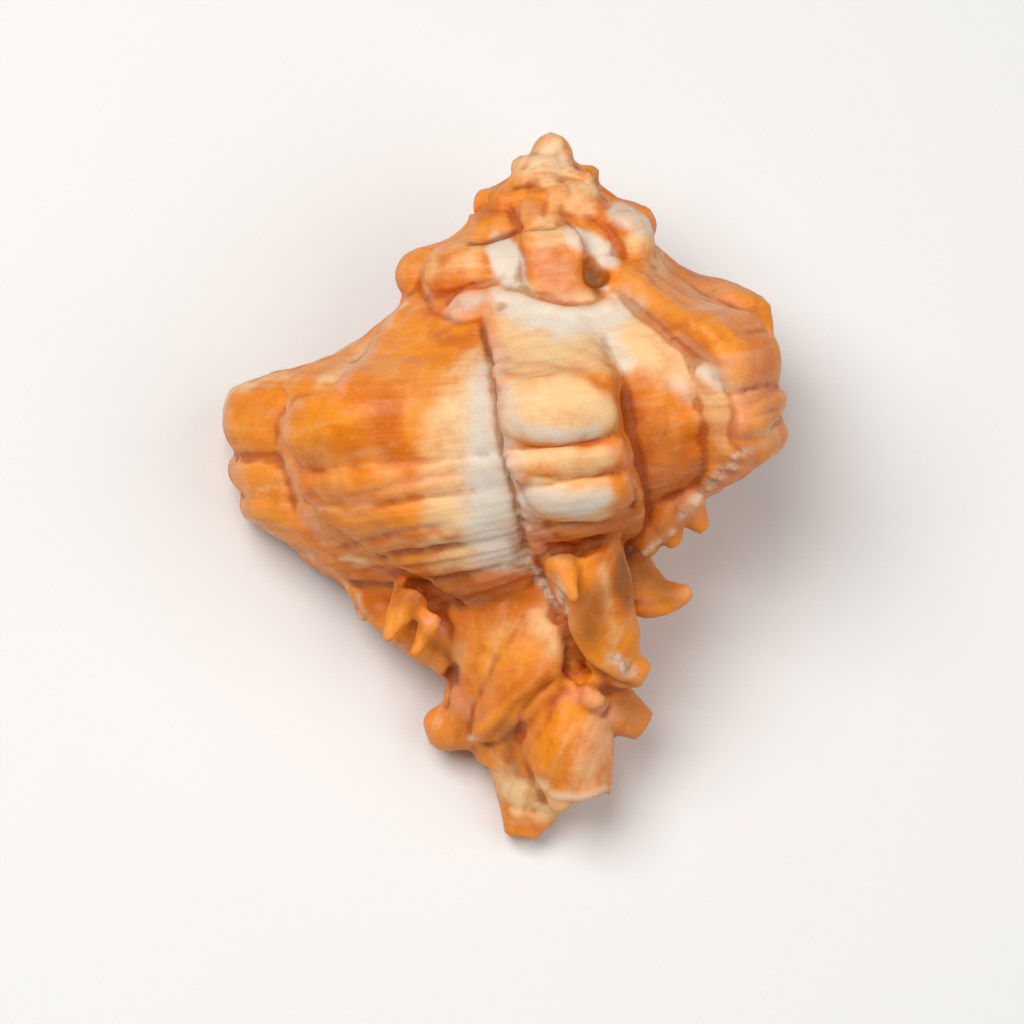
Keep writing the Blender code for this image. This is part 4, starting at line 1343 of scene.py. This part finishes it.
    # heights in mm, and hardly any on the glaze of the mouth
    lift = times(threads, times(sheet.attribute("size"), 0.022))
    for noise, height in (
        (streaks, 0.05),
        (lines, 0.01),
        (blotch, 0.06),
        (grain, 0.05),
        (fine, grade(grit, 0.0, 1.0, 0.015, 0.05)),
    ):
        lift = sheet.math("ADD", lift, times(noise, height))
    calm = grade(mouth, 0.0, 0.6, 1.0, 0.06)
    bump = sheet.node("ShaderNodeBump")
    bump.inputs["Distance"].default_value = MM
    sheet.feed(bump.inputs["Height"], times(lift, calm))
    sheet.feed(shader.inputs["Normal"], bump.outputs["Normal"])

    for name, value in (
        ("IOR", 1.5),
        ("Specular IOR Level", 0.25),
        ("Subsurface Weight", 0.12),
        ("Subsurface Radius", (0.9, 0.45, 0.2)),
        ("Subsurface Scale", MM),
    ):
        shader.inputs[name].default_value = value
    return material


def floor_material(stage):
    material = bpy.data.materials.new("pale floor")
    material.use_nodes = True
    shader = material.node_tree.nodes["Principled BSDF"]
    shader.inputs["Base Color"].default_value = colour(stage.floor)
    shader.inputs["Roughness"].default_value = 0.8
    return material


def lay_down(mesh):
    """Turns the mesh to lie as the solid does and moves it onto the solid's box. Returns the whole move."""
    turned = Matrix.Scale(MM, 4) @ resting()
    mesh.transform(turned)
    points = points_of(mesh)
    low, high = points.min(0), points.max(0)
    cad_low, cad_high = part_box("shell")
    shift = Vector(
        (
            (cad_low.x + cad_high.x - low[0] - high[0]) / 2,
            (cad_low.y + cad_high.y - low[1] - high[1]) / 2,
            cad_low.z - low[2],
        )
    )
    mesh.transform(Matrix.Translation(shift))
    return Matrix.Translation(shift) @ turned


# the middle of the shell, and the lights round it: across, towards the eye and up in the front view, mm,
# with the name of the power's property and the size in m
SHELL_MIDDLE = (0, 0, -25)
LIGHTS = (
    ("key light", (-100, -325, 130), "key_power", 0.22),
    ("fill light", (220, -260, 20), "fill_power", 0.30),
)
SKY_COLOUR = (1.0, 0.985, 0.96)


def in_scene(name, data):
    made = bpy.data.objects.new(name, data)
    bpy.context.scene.collection.objects.link(made)
    return made


def add_floor(stage):
    half = stage.floor_size / 2
    mesh = bpy.data.meshes.new("floor")
    corners = [(-half, -half, 0), (half, -half, 0), (half, half, 0), (-half, half, 0)]
    mesh.from_pydata(corners, [], [(0, 1, 2, 3)])
    mesh.materials.append(floor_material(stage))
    in_scene("floor", mesh)


def add_camera(view):
    lens = bpy.data.cameras.new("camera")
    lens.lens = LENS
    lens.sensor_width = SENSOR
    lens.clip_start = 0.01
    lens.clip_end = 10.0
    camera = in_scene("camera", lens)
    pose = view @ Matrix.Translation(eye()) @ Matrix.Rotation(math.radians(90), 4, "X")
    place, turn, _ = pose.decompose()
    camera.matrix_world = Matrix.Translation(place) @ turn.to_matrix().to_4x4()
    return camera


def add_lights(view, stage):
    middle = view @ Vector(SHELL_MIDDLE)
    for name, offset, power, size in LIGHTS:
        light = bpy.data.lights.new(name, "AREA")
        light.energy = getattr(stage, power)
        light.size = size
        lamp = in_scene(name, light)
        lamp.location = view @ (Vector(offset) + Vector(SHELL_MIDDLE))
        lamp.rotation_mode = "QUATERNION"
        lamp.rotation_quaternion = (middle - lamp.location).to_track_quat("-Z", "Y")


def studio_world(stage):
    world = bpy.data.worlds.new("studio")
    world.use_nodes = True
    sky = world.node_tree.nodes["Background"]
    sky.inputs["Color"].default_value = colour(SKY_COLOUR)
    sky.inputs["Strength"].default_value = stage.sky
    return world


class MurexShape(bpy.types.PropertyGroup):
    voxel: bpy.props.FloatProperty(
        name="Grain",
        description="Size of the even faces that the shell is grown from",
        default=0.0003,
        min=0.0002,
        max=0.001,
        precision=5,
        unit="LENGTH",
    )
    relief: bpy.props.FloatProperty(
        name="Relief",
        description="Strength of the lobes, grooves and pads that are modelled on the back",
        default=1.0,
        min=0.0,
        max=2.0,
        subtype="FACTOR",
    )


def colour_property(name, description, default):
    return bpy.props.FloatVectorProperty(
        name=name, description=description, default=default, size=3, min=0.0, max=1.0, subtype="COLOR"
    )


class MurexColours(bpy.types.PropertyGroup):
    orange: colour_property("Orange", "Main colour of the whorls", (0.70, 0.170, 0.008))
    peach: colour_property("Peach", "Softer main colour", (0.82, 0.30, 0.058))
    amber: colour_property("Amber", "Bright yellow orange", (0.87, 0.27, 0.003))
    # also laid as painted shade right of the middle varix's lobes and under the right hook
    rust: colour_property("Rust", "Deep orange brown of the grooves", (0.58, 0.12, 0.003))
    # painted shade, multiplied into the hollows
    shade: colour_property("Shade", "What the hollows are darkened with", (0.56, 0.29, 0.11))
    pink: colour_property("Pink", "Pale pink of the varix edges", (0.76, 0.33, 0.18))
    cream: colour_property("Cream", "Cream patches", (0.87, 0.59, 0.30))
    white: colour_property("White", "Chalk white bands", (0.74, 0.66, 0.55))
    grit: colour_property("Grit", "Brownish crust in the crevices", (0.58, 0.30, 0.15))
    pale_grit: colour_property("Pale grit", "White grains of the crust", (0.72, 0.55, 0.43))
    # painted shade of the cracks, pits and undercut places
    dirt: colour_property("Painted shade", "Brown of the cracks and pits", (0.20, 0.07, 0.012))
    enamel: colour_property("Enamel", "Inside of the mouth", (0.88, 0.74, 0.62))
    enamel_pink: colour_property("Pink enamel", "Blush inside the mouth", (0.86, 0.52, 0.38))


class MurexStage(bpy.types.PropertyGroup):
    floor: colour_property("Floor", "Colour of the plain floor", (0.80, 0.79, 0.77))
    floor_size: bpy.props.FloatProperty(
        name="Floor size", description="Side of the floor", default=3.0, unit="LENGTH"
    )
    key_power: bpy.props.FloatProperty(
        name="Key light", description="Power of the large soft light", default=1.24, unit="POWER"
    )
    fill_power: bpy.props.FloatProperty(
        name="Fill light", description="Power of the weak light opposite", default=0.48, unit="POWER"
    )
    sky: bpy.props.FloatProperty(
        name="Room light", description="Even light from all round", default=0.16, min=0.0
    )


class OBJECT_OT_murex_shell(bpy.types.Operator):
    """Grows the fine shell over its solid, with its relief, mouth and colours"""

    bl_idname = "object.murex_shell"
    bl_label = "Grow Shell"

    def execute(self, context):
        scene = context.scene
        mesh = fine_shell_mesh(scene.murex_shape)
        if not mesh.vertices:
            raise RuntimeError("the shell's skin came out empty")
        move = lay_down(mesh)
        mesh.name = "shell_skin"
        mesh.materials.clear()
        mesh.materials.append(shell_material(scene.murex_colours))
        mesh.shade_smooth()
        made = in_scene("shell_skin", mesh)
        made["shell_frame"] = [value for row in move for value in row]
        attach(made, "root")
        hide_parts("shell")
        return {"FINISHED"}


class SCENE_OT_murex_stage(bpy.types.Operator):
    """Sets up the pale floor, the soft light and the camera that looks down on the shell's back"""

    bl_idname = "scene.murex_stage"
    bl_label = "Set Stage"

    def execute(self, context):
        scene = context.scene
        stage = scene.murex_stage
        skin = bpy.data.objects.get("shell_skin")
        if skin is None:
            raise RuntimeError("grow the shell before its stage")
        values = list(skin["shell_frame"])
        move = Matrix([values[row * 4 : row * 4 + 4] for row in range(4)])
        view = move @ front_view().to_4x4().inverted()

        add_floor(stage)
        scene.camera = add_camera(view)
        add_lights(view, stage)
        scene.world = studio_world(stage)
        scene.view_settings.view_transform = "Standard"
        return {"FINISHED"}


class VIEW3D_PT_murex(bpy.types.Panel):
    """Sidebar panel with the shell's pieces and values"""

    bl_label = "Murex Shell"
    bl_idname = "VIEW3D_PT_murex"
    bl_space_type = "VIEW_3D"
    bl_region_type = "UI"
    bl_category = "Murex"

    def draw(self, context):
        scene = context.scene
        for group, operator in (
            (scene.murex_shape, "object.murex_shell"),
            (scene.murex_colours, None),
            (scene.murex_stage, "scene.murex_stage"),
        ):
            column = self.layout.column()
            for name in group.bl_rna.properties.keys():
                if name not in ("rna_type", "name"):
                    column.prop(group, name)
            if operator:
                column.operator(operator)


CLASSES = (
    MurexShape,
    MurexColours,
    MurexStage,
    OBJECT_OT_murex_shell,
    SCENE_OT_murex_stage,
    VIEW3D_PT_murex,
)
GROUPS = (("murex_shape", MurexShape), ("murex_colours", MurexColours), ("murex_stage", MurexStage))


def register():
    for cls in CLASSES:
        bpy.utils.register_class(cls)
    for name, group in GROUPS:
        setattr(bpy.types.Scene, name, bpy.props.PointerProperty(type=group))


def unregister():
    for name, _ in GROUPS:
        delattr(bpy.types.Scene, name)
    for cls in reversed(CLASSES):
        bpy.utils.unregister_class(cls)


def main():
    register()
    bpy.ops.object.murex_shell()
    bpy.ops.scene.murex_stage()


if __name__ == "__main__":
    main()
